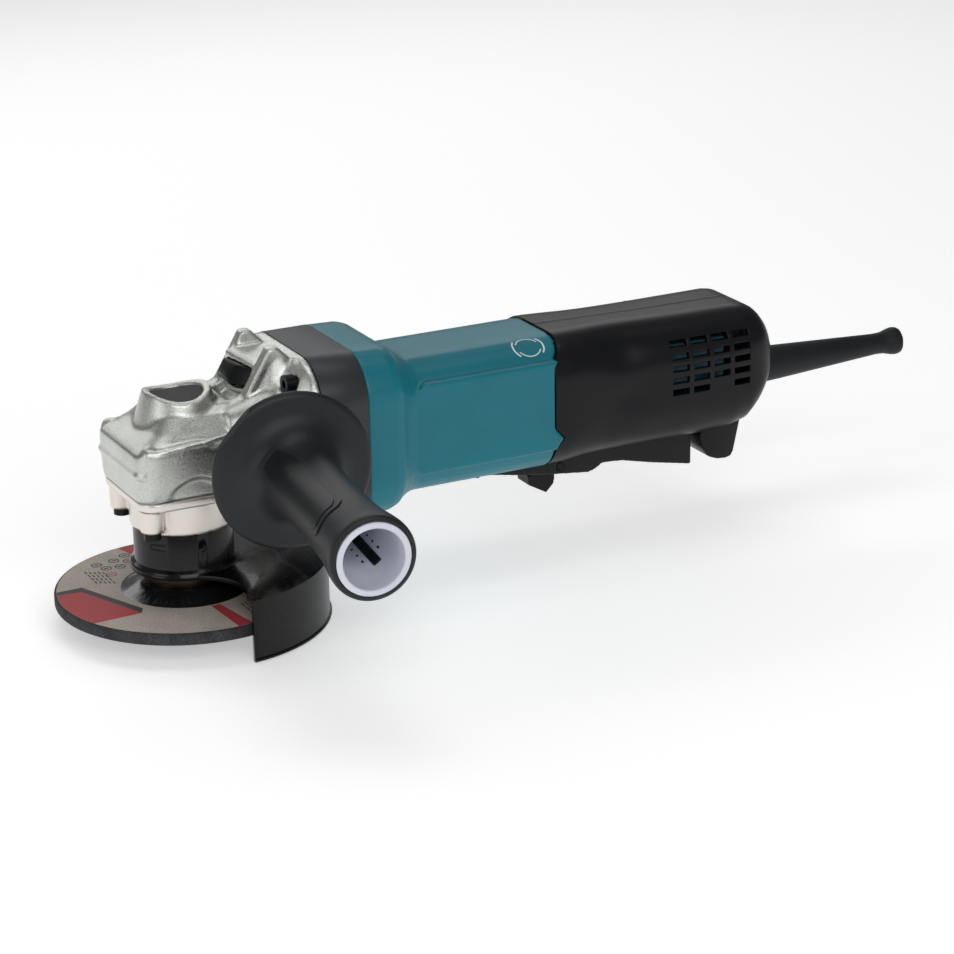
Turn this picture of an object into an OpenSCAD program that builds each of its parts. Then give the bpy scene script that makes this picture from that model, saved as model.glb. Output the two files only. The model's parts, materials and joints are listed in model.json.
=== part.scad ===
// Corded angle grinder with a rear grip, paddle switch, guard and side handle.
// +X runs along the body to the cord, +Z up the spindle, the side handle points
// to -Y, and the origin is the centre of the spindle's end face. Millimetres.

/* [Wheel] */
// Outside diameter of the grinding wheel
wheel_d = 125; // [100:1:125]
// Thickness of the wheel's grinding rim
wheel_t = 6; // [4:0.5:6]
// Diameter of the wheel's centre bore
wheel_bore_d = 22.23; // [22.1:0.01:22.4]
// Height by which the wheel's centre stands above its rim
wheel_hub_rise = 4.6; // [4.4:0.1:4.8]
// Diameter of the spindle's threaded nose
nose_d = 14; // [12:1:14]

/* [Gears] */
// Module of the bevel teeth at the large end
gear_module = 1.3; // [1.25:0.01:1.3]
// Teeth on the bevel gear
gear_teeth = 36; // [36:4:36]
// Teeth on the pinion
pinion_teeth = 11; // [11:1:11]

/* [Body] */
// Height of the motor axis above the spindle's end face
axis_z = 77; // [77:0.5:77.5]
// Width of the motor housing's front bell
bell_w = 86; // [85:0.5:87]
// Height of the motor housing's front bell
bell_h = 83; // [82:0.5:84]
// Width of the motor barrel behind the bell
barrel_w = 68; // [67:0.5:69]
// Wall thickness of the plastic housings
wall = 2.6; // [2:0.1:2.8]

/* [Rear grip] */
// Columns of intake slots on each side
slot_columns = 4; // [3:1:4]
// Rows of intake slots on each side
slot_rows = 5; // [3:1:5]
// Diameter of the cord's hole in the cord guard
cord_d = 8; // [6:0.5:8.5]

/* [Guard] */
// Outside diameter of the guard's skirt
guard_d = 136; // [134:1:140]
// Thickness of the guard's sheet
guard_t = 2; // [1.5:0.1:2.2]
// Lowest level of the guard's skirt
guard_bottom = -8.7; // [-10:0.1:-6]

/* [Side handle] */
// Diameter of the side handle's thread
handle_thread_d = 8; // [8:1:10]
// Diameter of the handle's hand shield
shield_d = 76; // [70:1:78]
// Length of the side handle from the gear housing to its outer end
handle_len = 138; // [125:1:142]

/* [Hidden] */

$fn = 64;
eps = 0.01;
run_gap = 0.03;

// Colours of the real materials
cast = [0.72, 0.74, 0.71];
warm_cast = [0.76, 0.72, 0.67];
steel = [0.62, 0.63, 0.65];
dark_steel = [0.12, 0.12, 0.13];
teal = [0.02, 0.42, 0.48];
black_plastic = [0.09, 0.10, 0.11];
grey_plastic = [0.20, 0.21, 0.23];
copper = [0.72, 0.42, 0.22];
brass = [0.75, 0.62, 0.32];
pale = [0.88, 0.89, 0.92];

// Spindle stack, from the end face up
wheel_z = 5;
rim_r = wheel_d / 2;
seat_z = wheel_z - wheel_t / 2 + wheel_t + wheel_hub_rise;
flange_r = 19.5;
flange_top = 20;
shoulder_r = 9.5;
race_z0 = 44;
race_z1 = 55;
gear_z0 = 58.8;
hub_top = 70;
bush_z0 = 83;
bush_z1 = 90;
lock_pin_x = -9.5;
lock_pin_r = 2;
lock_travel = 4.5;
button_r = 12;
button_z = 99.5;
boss_top = 107.5;
dish_r = 32;

// Bevel gears, whose pitch cones meet where the two axes cross
gear_pitch_r = gear_module * gear_teeth / 2;
pinion_pitch_r = gear_module * pinion_teeth / 2;
gear_cone = atan(gear_teeth / pinion_teeth);
cone_len = gear_pitch_r / sin(gear_cone);
toe_scale = 0.64;
pressure = 20;
gear_addendum = 0.7 * gear_module;
gear_dedendum = 1.25 * gear_module;
gear_backlash = 0.16;
tooth_pitch = PI * gear_module;
gear_base_z = 63.5;

// Body stations along X
housing_rear = 55.5;
ring_rear = 78.5;
bell_corner = 22;
barrel_z0 = 40.5;
barrel_z1 = 107.5;
barrel_corner = 21;
seam_x = 183;
seam_gap = 0.3;
screw_y = 29;
screw_dz = 32;
screw_r = 2;
screw_head_r = 4.3;
screw_head_x = 42;
screw_seat_x = 46.5;

// Bearing box and its screws
box_screw_x = 22.8;
box_screw_y = 19.6;
box_top = 61;
neck_r = 22;
neck_z0 = 24;
neck_z1 = 41;

// Side handle: the middle of its boss's face, and how far it leans forward and down
boss_x = 33.2;
boss_y = 37;
boss_z = 79.7;
handle_yaw = 6.2;
handle_pitch = 1.55;
socket_depth = 14;

// Rear grip, paddle and switch
paddle_x = 146;
paddle_z = 43.5;
paddle_half = 15.5;
paddle_open = 16.4;
trough_top = 47.5;
pivot_r = 1.75;
lever_x = 195;
lever_z = 37.4;
plunger_x = 230;
spring_x = 254;
spring_seat = 33;
plunger_r = 3;
cord_z = 66.3;
clamp_x = 287.5;
cord_guard_x0 = 295;
cord_collar = 5;
slot_x0 = 248.4;
slot_pitch_x = 11.8;
slot_w = 9.4;
slot_top_z = 96.4;
slot_pitch_z = 6.05;
slot_h = 3.3;
blank_row = 4;
blank_column = 2;
shell_screws = [[204, 99], [256, 99.5], [299.5, 84.5], [204, 61]];
shell_seat_y = 24;

// Directions of the guard's clamp lugs
clamp_angle = 62;
skirt_x = 6;
clamp_r = 29.5;
lug_gap = 3;

// ---------- general shapes ----------

// Rod along X on the motor axis
module x_rod(x0, x1, r, y = 0, z = axis_z) {
    translate([x0, y, z]) rotate([0, 90, 0]) cylinder(h = x1 - x0, r = r);
}

// Rod along Y from y0 to y1
module y_rod(x, z, y0, y1, r) {
    translate([x, y1, z]) rotate([90, 0, 0]) cylinder(h = y1 - y0, r = r);
}

// Rod along Z
module z_rod(x, y, z0, z1, r) {
    translate([x, y, z0]) cylinder(h = z1 - z0, r = r);
}

// Tube along Z
module z_tube(z0, z1, r_out, r_in) {
    difference() {
        z_rod(0, 0, z0, z1, r_out);
        z_rod(0, 0, z0 - 1, z1 + 1, r_in);
    }
}

// Tube along X on the motor axis
module x_tube(x0, x1, r_out, r_in) {
    difference() {
        x_rod(x0, x1, r_out);
        x_rod(x0 - 1, x1 + 1, r_in);
    }
}

// Box given by its low and high corners
module block(lo, hi) {
    translate(lo) cube(hi - lo);
}

// The children's outline in Y and Z, run along X
module x_prism(x0, x1) {
    translate([x0, 0, 0]) rotate([90, 0, 90]) linear_extrude(height = x1 - x0) children();
}

// The children's outline in X and Z, run along Y
module y_prism(y0, y1) {
    translate([0, y1, 0]) rotate([90, 0, 0]) linear_extrude(height = y1 - y0) children();
}

// Rounded rectangle about the origin
module rounded(w, h, r) {
    square([w - 2 * r, h], center = true);
    square([w, h - 2 * r], center = true);
    for (sx = [-1, 1], sy = [-1, 1])
        translate([sx * (w / 2 - r), sy * (h / 2 - r)]) circle(r = r);
}

// The children and their mirror image across the body's mid-plane
module both_sides() {
    children();
    mirror([0, 1, 0]) children();
}

// Points of a rounded rectangle between two corners, with steps per corner
corner_steps = 7;
function arc(cx, cy, r, a) =
    [for (i = [0:corner_steps])
        [cx + r * cos(a + 90 * i / corner_steps), cy + r * sin(a + 90 * i / corner_steps)]];
function outline(x0, x1, y0, y1, r) = concat(
    arc(x1 - r, y1 - r, r, 0), arc(x0 + r, y1 - r, r, 90),
    arc(x0 + r, y0 + r, r, 180), arc(x1 - r, y0 + r, r, 270));

// Smooth skin through rings that all have the same number of points
module skin(rings) {
    n = len(rings[0]);
    last = len(rings) - 1;
    points = [for (ring = rings) for (p = ring) p];
    sides = [for (k = [0:last - 1]) for (i = [0:n - 1]) for (t = [0, 1])
        let (j = (i + 1) % n, a = k * n + i, b = k * n + j, c = a + n, d = b + n)
        t == 0 ? [a, c, d] : [a, d, b]];
    first_cap = [[for (i = [0:n - 1]) i]];
    last_cap = [[for (i = [0:n - 1]) last * n + n - 1 - i]];
    polyhedron(points, concat(first_cap, sides, last_cap), convexity = 6);
}

// Body run along X through stations [x, half width, bottom, top, corner]
module x_loft(stations, inset = 0) {
    skin([for (s = stations)
        [for (p = outline(inset - s[1], s[1] - inset, s[2] + inset, s[3] - inset, s[4] - inset))
            [s[0], p[0], p[1]]]]);
}

// Body run along Z through stations [z, x low, x high, half width, corner]
module z_loft(stations) {
    skin([for (s = stations)
        [for (p = outline(s[1], s[2], -s[3], s[3], s[4])) [p[0], p[1], s[0]]]]);
}

// Coil along Z from z0 to z1
module coil(x, y, z0, z1, r, wire_r, turns) {
    sides = 6;
    steps = 14;
    total = steps * turns;
    skin([for (k = [total:-1:0])
        let (a = 360 * k / steps, z = z0 + wire_r + (z1 - z0 - 2 * wire_r) * k / total)
        [for (i = [0:sides - 1])
            let (q = 360 * i / sides, d = r + wire_r * cos(q))
            [x + d * cos(a), y + d * sin(a), z + wire_r * sin(q)]]]);
}

// Socket-head screw pointing along +X, with its head behind x = 0
module x_screw(length, r, head_r, head_h) {
    key_r = head_r * 0.5;
    rotate([0, 90, 0]) cylinder(h = length, r = r);
    difference() {
        translate([-head_h, 0, 0]) rotate([0, 90, 0]) cylinder(h = head_h, r = head_r);
        translate([-head_h - 1, 0, 0]) rotate([0, 90, 0])
            cylinder(h = head_h * 0.6 + 1, r = key_r, $fn = 6);
    }
}

// ---------- gear head ----------

// Side outline of a fin beside the exhaust opening
fin_outline = [[20, 92], [24, 98], [39.5, 124], [44, 124], [50.5, 117], [52, 90]];
fin_y = 16;
fin_t = 7;

module head_outer() {
    rear_w = bell_w / 2;
    rear_z0 = axis_z - bell_h / 2;
    rear_z1 = axis_z + bell_h / 2;
    z_loft([
        [box_top, -30, 33, 28, 8], [66, -30.6, 34, 28.8, 8.5], [80, -31, 36, 29.6, 9],
        [84, -30.6, 37, 29.8, 9], [86, -28, 38, 27.5, 9], [91, -19, 40, 24, 9],
        [97, -14, 44, 19, 9], [100, -8, 46, 14, 7]]);
    x_loft([
        [16, 26, box_top, 98, 10], [30, 29.4, box_top, 102.8, 13], [38, 31.5, 52, 106, 15],
        [45, 37, 43, 112, 19], [50, 41.5, 37.5, 116.5, 21], [52.5, rear_w, rear_z0, rear_z1, bell_corner],
        [housing_rear, rear_w, rear_z0, rear_z1, bell_corner]]);
    translate([0, 0, 88]) cylinder(h = 12, r1 = 21.5, r2 = 18);
    translate([0, 0, 100]) cylinder(h = boss_top - 100, r1 = 18, r2 = 15.6);
    both_sides() {
        y_prism(fin_y - fin_t / 2, fin_y + fin_t / 2) polygon(fin_outline);
    }
    both_handles() translate([0, 0, -17]) cylinder(h = 17, r = 12.5);
    block([38, -fin_y, 95], [53, fin_y, 116]);
}

module gear_housing() {
    duct_half = 11.5;
    cavity_r = 26;
    color(cast) difference() {
        head_outer();
        // gear chamber, pinion tunnel and bearing seats
        z_rod(0, 0, box_top - 5, 80, cavity_r);
        z_rod(0, 0, 79, bush_z0, 8);
        z_rod(0, 0, bush_z0 - 1, bush_z1, 6);
        x_rod(8, 40, 10.5);
        x_rod(34.5, 45, 16);
        x_rod(44, 60, 13.5);
        x_rod(48.5, 60, 36);
        // exhaust duct from the fan chamber to the mouth between the fins
        block([30, -duct_half, 99], [60, duct_half, 109]);
        block([18, -duct_half, 103], [36, duct_half, 125]);
        block([30, -duct_half, 114], [46, duct_half, 125]);
        translate([33, 0, 99]) rotate([0, -35, 0]) block([-9, -duct_half, 0], [12, duct_half, 12]);
        // shaft lock: dished top, button well, spring well and pin hole
        y_rod(0, boss_top + sqrt(dish_r * dish_r - 256), -30, 30, dish_r);
        z_rod(0, 0, button_z - lock_travel - 0.3, 130, button_r + 0.25);
        z_rod(lock_pin_x, 0, 78, 96, lock_pin_r + 0.1);
        z_rod(lock_pin_x, 0, 88.5, button_z + 0.5, 3.6);
        // side handle sockets and shallow arches in the flanks
        both_handles() translate([0, 0, -socket_depth]) cylinder(h = 20, r = handle_thread_d / 2);
        both_sides() y_rod(-3, 56, 27.4, 40, 15);
        // pockets for the four long screws
        for (sy = [-1, 1], sz = [-1, 1]) {
            x_rod(30, screw_seat_x, screw_head_r + 1, sy * screw_y, axis_z + sz * screw_dz);
            x_rod(40, 60, screw_r + 0.2, sy * screw_y, axis_z + sz * screw_dz);
        }
        // thread holes for the bearing box screws
        for (sx = [-1, 1], sy = [-1, 1])
            z_rod(sx * box_screw_x, sy * box_screw_y, box_top - 1, box_top + 10, 2.2);
    }
}

module bearing_box() {
    plate_w = 59;
    plate_l = 58;
    ear_r = 5.6;
    color(warm_cast) difference() {
        union() {
            z_rod(0, 0, neck_z0, neck_z1 + eps, neck_r);
            z_rod(0, 0, neck_z1, 58, 25);
            translate([0, 0, 56.8]) linear_extrude(height = box_top - 56.8) rounded(plate_w, plate_l, 9);
            z_rod(0, 0, box_top - 1, 63, 25.8);
            for (sx = [-1, 1], sy = [-1, 1])
                z_rod(sx * box_screw_x, sy * box_screw_y, 48, 57, ear_r);
        }
        z_rod(0, 0, neck_z0 - 1, 28, 16);
        z_rod(0, 0, 20, 60, 14);
        z_rod(0, 0, race_z0, 60, 17.5);
        z_rod(0, 0, race_z1 + 0.2, 60, 20.5);
        z_rod(0, 0, 58.2, 70, 24.6);
        for (sx = [-1, 1], sy = [-1, 1])
            z_rod(sx * box_screw_x, sy * box_screw_y, 40, 64, 2.2);
    }
}

module bearing_box_screws() {
    color(dark_steel) for (sx = [-1, 1], sy = [-1, 1])
        translate([sx * box_screw_x, sy * box_screw_y, 48]) rotate([0, -90, 0])
            x_screw(20, 2.2, 4.1, 6.3);
}

module gear_housing_screws() {
    color(dark_steel) for (sy = [-1, 1], sz = [-1, 1])
        translate([screw_seat_x, sy * screw_y, axis_z + sz * screw_dz])
            x_screw(40, screw_r, screw_head_r, screw_seat_x - screw_head_x);
}

// Ball bearing section: two races with a shallow groove between them
module race_section(r_in, r_out, width) {
    mid = (r_in + r_out) / 2;
    groove = (r_out - r_in) / 5;
    difference() {
        translate([r_in, 0]) square([r_out - r_in, width]);
        translate([mid - groove, -1]) square([2 * groove, 1.6]);
        translate([mid - groove, width - 0.6]) square([2 * groove, 1.6]);
    }
}

module x_race(x, r_in, r_out, width) {
    translate([x, 0, axis_z]) rotate([0, 90, 0]) rotate_extrude() race_section(r_in, r_out, width);
}

module lower_ball_bearing() {
    color(steel) translate([0, 0, race_z0]) rotate_extrude()
        race_section(7.5 + run_gap, 17.5, race_z1 - race_z0);
}

module bearing_retainer() {
    color(steel) difference() {
        z_tube(race_z1 + 0.2, 58.2, 20.5, 10);
        for (a = [45:90:315]) rotate([0, 0, a]) z_rod(15, 0, 50, 60, 1.5);
    }
}

module dust_ring() {
    color(black_plastic) rotate_extrude()
        polygon([[10, 24.2], [16, 24.2], [16, 28], [12.5, 28], [12.5, 26], [10, 26]]);
}

module upper_bush() {
    color(brass) z_tube(bush_z0, bush_z1, 6, 4 + run_gap);
}

module shaft_lock_button() {
    mid = boss_top - 0.9;
    color(black_plastic) difference() {
        z_rod(0, 0, button_z, boss_top, button_r);
        y_rod(0, mid + sqrt(dish_r * dish_r - 256), -30, 30, dish_r);
        z_rod(lock_pin_x, 0, button_z - 1, button_z + 2.5, lock_pin_r);
    }
}

module shaft_lock_pin() {
    color(steel) z_rod(lock_pin_x, 0, 72.4, button_z + 2.5, lock_pin_r);
}

module shaft_lock_spring() {
    color(steel) coil(lock_pin_x, 0, 88.7, button_z, 2.9, 0.4, 5);
}

// ---------- motor ----------

module baffle_ring() {
    boss_r = 4.4;
    inner_corner = bell_corner - 3;
    color(grey_plastic) difference() {
        union() {
            difference() {
                x_prism(housing_rear, ring_rear) translate([0, axis_z])
                    rounded(bell_w, bell_h, bell_corner);
                x_prism(housing_rear - 1, ring_rear - 2.5) translate([0, axis_z])
                    rounded(bell_w - 6, bell_h - 6, inner_corner);
                x_rod(60, 90, 25);
            }
            for (sy = [-1, 1], sz = [-1, 1])
                x_rod(housing_rear, ring_rear, boss_r, sy * screw_y, axis_z + sz * screw_dz);
        }
        for (sy = [-1, 1], sz = [-1, 1])
            x_rod(50, 90, screw_r + 0.2, sy * screw_y, axis_z + sz * screw_dz);
    }
}

// Stations of the motor housing: x, half width, bottom, top, corner
bell_stations = [
    [ring_rear, bell_w / 2, axis_z - bell_h / 2, axis_z + bell_h / 2, bell_corner],
    [93, bell_w / 2, 36, 118, bell_corner],
    [97, bell_w / 2 - 1.2, 37, 117, bell_corner],
    [101, bell_w / 2 - 4.5, 38.6, 113.5, 22],
    [106, barrel_w / 2 + 1.2, 40, 109, barrel_corner],
    [110, barrel_w / 2, barrel_z0, barrel_z1, barrel_corner],
    [194, barrel_w / 2, barrel_z0, barrel_z1, barrel_corner]];
bore_stations = [
    [ring_rear - 1, bell_w / 2, axis_z - bell_h / 2, axis_z + bell_h / 2, bell_corner],
    [91, bell_w / 2, 36, 118, bell_corner],
    [103, barrel_w / 2 + 1, 40.5, 109, barrel_corner],
    [107, barrel_w / 2, barrel_z0, barrel_z1, barrel_corner],
    [174, barrel_w / 2, barrel_z0, barrel_z1, barrel_corner]];

// Wavy seam between the motor housing and the rear grip, seen from the side
function seam(gap) = [
    [seam_x + gap, 20], [seam_x + gap, 54.5], [seam_x + 4 + gap, 59.5], [seam_x - 1 + gap, 65],
    [seam_x - 1 + gap, 96.5], [seam_x + 3 + gap, 101], [seam_x + 5.5 + gap, 106],
    [seam_x + 6 + gap, 125]];

panel_outline = [
    [102.5, 67], [102.5, 92], [112.5, 99], [190, 99], [190, 54], [110.5, 54]];

module motor_housing() {
    panel_y = barrel_w / 2 + 0.9;
    color(teal) difference() {
        union() {
            difference() {
                intersection() {
                    union() {
                        x_loft(bell_stations);
                        both_sides() y_prism(20, panel_y) polygon(panel_outline);
                    }
                    y_prism(-60, 60) polygon(concat([[60, 125], [60, 20]], seam(0)));
                }
                x_loft(bore_stations, wall);
            }
            block([135.5, -20, 42], [seam_x - 1, 20, trough_top + 2]);
            for (sy = [-1, 1], sz = [-1, 1])
                x_rod(ring_rear, 90, 4.4, sy * screw_y, axis_z + sz * screw_dz);
        }
        // rear bearing seat and the air way round it
        x_rod(170, 186.2, 11);
        x_rod(180, 200, 6);
        for (a = [45:90:315]) translate([0, 0, axis_z]) rotate([a, 0, 0])
            block([170, -7, 15], [200, 7, 24]);
        // trough for the paddle's front tongue, with its pivot hole
        block([137.5, -17.2, 30], [200, 17.2, trough_top]);
        y_rod(paddle_x, paddle_z, -21, 21, pivot_r);
        // screw holes
        for (sy = [-1, 1], sz = [-1, 1])
            x_rod(60, 96, screw_r, sy * screw_y, axis_z + sz * screw_dz);
    }
}

module front_ball_bearing() {
    color(steel) x_race(35, 6 + run_gap, 16, 10);
}

module rear_ball_bearing() {
    color(steel) x_race(179, 4 + run_gap, 11, 7);
}

module stator_core() {
    flat = 26.5;
    color(steel) intersection() {
        difference() {
            x_rod(100, 136, 29.5);
            x_rod(90, 160, 21.2);
        }
        block([90, -40, axis_z - flat], [160, 40, axis_z + flat]);
    }
}

module stator_windings() {
    color(copper) for (x = [[93.5, 99.8], [136.2, 143]], s = [-1, 1])
        difference() {
            x_tube(x[0], x[1], 27.5, 22);
            block([80, -40, axis_z + (s > 0 ? -60 : -8)], [170, 40, axis_z + (s > 0 ? 8 : 60)]);
        }
}

module brush_box(y0, y1, w, h) {
    block([164.5 - w / 2, y0, axis_z - h / 2], [164.5 + w / 2, y1, axis_z + h / 2]);
}

module brush_holders() {
    color(brass) both_sides() difference() {
        brush_box(14, 31, 12, 9);
        brush_box(10, 30, 9.2, 6.2);
    }
}

module carbon_brushes() {
    color(dark_steel) both_sides() brush_box(12.9, 24, 9, 6);
}

module brush_springs() {
    color(steel) both_sides() translate([164.5, 0, axis_z]) rotate([-90, 0, 0])
        coil(0, 0, 24.1, 29.9, 2, 0.35, 4);
}

// ---------- armature ----------

module armature_shaft() {
    color(steel) {
        x_rod(10.3, 33.5, 4);
        x_rod(33.5, 46, 6);
        x_rod(46, 155, 6.5);
        x_rod(155, 178.5, 5);
        x_rod(178.5, 187, 4);
    }
}

module armature_core() {
    slots = 12;
    color(steel) difference() {
        x_tube(101, 135, 20.4, 6.5);
        for (i = [0:slots - 1]) translate([0, 0, axis_z]) rotate([i * 360 / slots, 0, 0])
            block([90, -1.2, 18.2], [150, 1.2, 30]);
    }
}

module armature_windings() {
    color(copper) for (x = [[94, 101], [135, 143]])
        x_tube(x[0], x[1], 17.5, 6.5);
}

module commutator() {
    bars = 24;
    color(copper) difference() {
        union() {
            x_tube(155, 174, 12.5, 5);
            x_tube(152, 155, 14.5, 6.5);
        }
        for (i = [0:bars - 1]) translate([0, 0, axis_z]) rotate([i * 360 / bars, 0, 0])
            block([157, -0.25, 12], [180, 0.25, 20]);
    }
}

module fan() {
    blades = 13;
    tip_r = 35;
    color(grey_plastic) {
        x_tube(58, 72, 10, 6.5);
        x_tube(70, 72, tip_r, 9);
        for (i = [0:blades - 1]) translate([0, 0, axis_z]) rotate([i * 360 / blades, 0, 0])
            rotate([14, 0, 0]) block([60, -0.8, 14], [70.5, 0.8, tip_r - 1.5]);
    }
}

// Involute outline of the pinion at its large end
pinion_base_r = pinion_pitch_r * cos(pressure);
pinion_tip_r = pinion_pitch_r + gear_module;
pinion_root_r = pinion_pitch_r - 1.05 * gear_module;
flank_steps = 5;
function involute(a) = tan(a) - a * PI / 180;
function half_tooth(r) =
    90 / pinion_teeth + (involute(pressure)
        - involute(acos(min(1, pinion_base_r / r)))) * 180 / PI
        - gear_backlash / 2 / pinion_pitch_r * 180 / PI;
function flank(side) = [for (k = [0:flank_steps])
    let (r = pinion_root_r + (pinion_tip_r - pinion_root_r) * k / flank_steps)
    [r, side * half_tooth(r)]];
function pinion_points() = [for (i = [0:pinion_teeth - 1])
    let (a = 360 * i / pinion_teeth)
    for (q = concat(flank(-1), [for (k = [flank_steps:-1:0]) flank(1)[k]]))
        [q[0] * cos(a + q[1]), q[0] * sin(a + q[1])]];

module pinion() {
    color(steel) difference() {
        union() {
            translate([gear_pitch_r, 0, axis_z]) rotate([0, -90, 0]) rotate([0, 0, 180])
                linear_extrude(height = gear_pitch_r * (1 - toe_scale), scale = toe_scale)
                    polygon(pinion_points());
            x_rod(gear_pitch_r - eps, 33.5, 5.6);
        }
        x_rod(10, 40, 4);
    }
}

module pinion_nut() {
    toe_x = gear_pitch_r * toe_scale;
    color(steel) difference() {
        translate([toe_x - 4.4, 0, axis_z]) rotate([0, 90, 0]) cylinder(h = 3.1, r = 5.2, $fn = 6);
        x_rod(toe_x - 5, toe_x, 4);
    }
}

// ---------- spindle group ----------

module spindle() {
    color(steel) rotate_extrude() polygon([
        [0, 0], [nose_d / 2 - 0.8, 0], [nose_d / 2, 0.8], [nose_d / 2, flange_top],
        [shoulder_r, flange_top], [shoulder_r, race_z0 - 0.1], [7.5, race_z0 - 0.1],
        [7.5, gear_z0], [6.5, gear_z0], [6.5, hub_top], [6, hub_top], [6, bush_z0 - 0.6],
        [4, bush_z0 - 0.6], [4, bush_z1 - 1], [0, bush_z1 - 1]]);
}

// Corner of the gear's tooth outline at the large end, in 3-D
function cone_point(a, h, w, k) =
    let (r = k * (cone_len * sin(gear_cone) + h * cos(gear_cone)),
         z = axis_z + k * (-cone_len * cos(gear_cone) + h * sin(gear_cone)))
    [r * cos(a) - k * w * sin(a), r * sin(a) + k * w * cos(a), z];
function tooth_half(h) = tooth_pitch / 4 - gear_backlash / 2 - h * tan(pressure);
function gear_ring(k) = [for (i = [0:gear_teeth - 1])
    let (a = 360 * (i + 0.5) / gear_teeth)
    for (q = [[-gear_dedendum, -1], [gear_addendum, -1], [gear_addendum, 1], [-gear_dedendum, 1]])
        cone_point(a, q[0], q[1] * tooth_half(q[0]), k)];
function flat_ring(ring, z) = [for (p = ring) [p[0], p[1], z]];

// Ring of bevel teeth as one closed skin: four rings joined into a loop
module tooth_ring() {
    rings = [gear_ring(1), gear_ring(toe_scale),
        flat_ring(gear_ring(toe_scale), gear_base_z), flat_ring(gear_ring(1), gear_base_z)];
    n = len(rings[0]);
    points = [for (ring = rings) for (p = ring) p];
    faces = [for (k = [0:3]) for (i = [0:n - 1]) for (t = [0, 1])
        let (j = (i + 1) % n, a = k * n + i, b = k * n + j,
             c = ((k + 1) % 4) * n + i, d = ((k + 1) % 4) * n + j)
        t == 0 ? [a, c, d] : [a, d, b]];
    polyhedron(points, faces, convexity = 10);
}

module bevel_gear() {
    color(steel) difference() {
        union() {
            tooth_ring();
            z_rod(0, 0, gear_z0, hub_top, 12.9);
            z_rod(0, 0, 61.5, 67.5, 19);
        }
        z_rod(0, 0, 50, 80, 6.5);
        for (a = [0:90:270]) rotate([0, 0, a])
            z_rod(lock_pin_x, 0, hub_top - 5.5, hub_top + 1, lock_pin_r + 0.35);
    }
}

module inner_flange() {
    pilot_r = wheel_bore_d / 2 - 0.1;
    color([0.30, 0.25, 0.20]) rotate_extrude() polygon([
        [nose_d / 2, seat_z - 2], [pilot_r, seat_z - 2], [pilot_r, seat_z], [flange_r, seat_z],
        [flange_r, seat_z + 4.6], [flange_r - 1.2, seat_z + 5.6], [14, flange_top],
        [nose_d / 2, flange_top]]);
}

module grinding_wheel() {
    low = wheel_z - wheel_t / 2;
    high = wheel_z + wheel_t / 2;
    under = low + wheel_hub_rise;
    bore_r = wheel_bore_d / 2;
    color([0.35, 0.34, 0.32]) rotate_extrude() polygon([
        [bore_r, under], [20, under], [27, low], [rim_r - 0.6, low], [rim_r, low + 0.6],
        [rim_r, high - 0.6], [rim_r - 0.6, high], [30.7, high], [22.5, seat_z], [bore_r, seat_z]]);
}

module lock_nut() {
    under = wheel_z - wheel_t / 2 + wheel_hub_rise;
    color(dark_steel) difference() {
        rotate_extrude() polygon([
            [nose_d / 2, 1.2], [15.5, 1.2], [16.5, 2], [19.3, under], [wheel_bore_d / 2 - 0.2, under],
            [wheel_bore_d / 2 - 0.2, under + 1.6], [nose_d / 2, under + 1.6]]);
        for (s = [-1, 1]) z_rod(s * 12, 0, 0, 5, 2);
    }
}

// ---------- guard ----------

// Outline of the guard's top plate: a ring that sweeps out to the half skirt
module guard_plate() {
    r_out = guard_d / 2;
    difference() {
        union() {
            circle(r = 26);
            intersection() {
                circle(r = r_out);
                translate([skirt_x, -r_out]) square([2 * r_out, 2 * r_out]);
            }
            intersection() {
                circle(r = 40);
                translate([-10, -40]) square([40, 80]);
            }
        }
        circle(r = 20.6);
        for (s = [-1, 1]) translate([skirt_x - 21, s * 47.5]) circle(r = 24.5);
    }
}

module wheel_guard() {
    r_out = guard_d / 2;
    plate_z0 = 19.4;
    plate_z1 = 21.6;
    collar_z0 = 25;
    collar_in = neck_r + 0.25;
    collar_out = neck_r + 1.75;
    color(black_plastic) difference() {
        union() {
            translate([0, 0, plate_z0]) linear_extrude(height = plate_z1 - plate_z0) guard_plate();
            rotate_extrude() polygon([
                [20.6, 19.4], [26, 19.4], [26.4, 20.6], [25.6, 22.4], [collar_out, 23.6],
                [collar_out, neck_z1 - 0.2], [collar_in, neck_z1 - 0.2], [collar_in, 23.6],
                [20.6, 23.6]]);
            intersection() {
                union() {
                    z_tube(guard_bottom, plate_z1 - 0.6, r_out, r_out - guard_t);
                    translate([0, 0, guard_bottom]) rotate_extrude()
                        translate([r_out + 0.1, 0.9]) circle(r = 0.9, $fn = 24);
                }
                translate([skirt_x, -80, -40]) cube([160, 160, 80]);
            }
            rotate([0, 0, clamp_angle]) block([collar_in + 0.5, -9, 27], [clamp_r + 4.5, 9, 38.5]);
        }
        // split between the lugs, screw hole, key slot and round hole
        rotate([0, 0, clamp_angle]) {
            block([16, -lug_gap / 2, collar_z0], [50, lug_gap / 2, 50]);
            translate([clamp_r, 20, 33]) rotate([90, 0, 0]) cylinder(h = 40, r = 2.6);
            block([clamp_r - 4.6, 6, 26], [50, 12, 50]);
            block([clamp_r - 4.6, -12, 26], [50, -6, 50]);
        }
        rotate([0, 0, -142]) block([collar_in + 0.7, -4.2, 33.2], [26, 4.2, 35.6]);
        rotate([0, 0, -90]) translate([collar_in + 0.7, 0, 34]) rotate([0, 90, 0]) cylinder(h = 8, r = 2);
        z_rod(0, 0, 23.6, 50, collar_in);
    }
}

module guard_clamp_screw() {
    color(dark_steel) rotate([0, 0, clamp_angle]) translate([clamp_r, -6, 33]) rotate([0, 0, 90])
        x_screw(19, 2.5, 4.2, 4.5);
}

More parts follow.
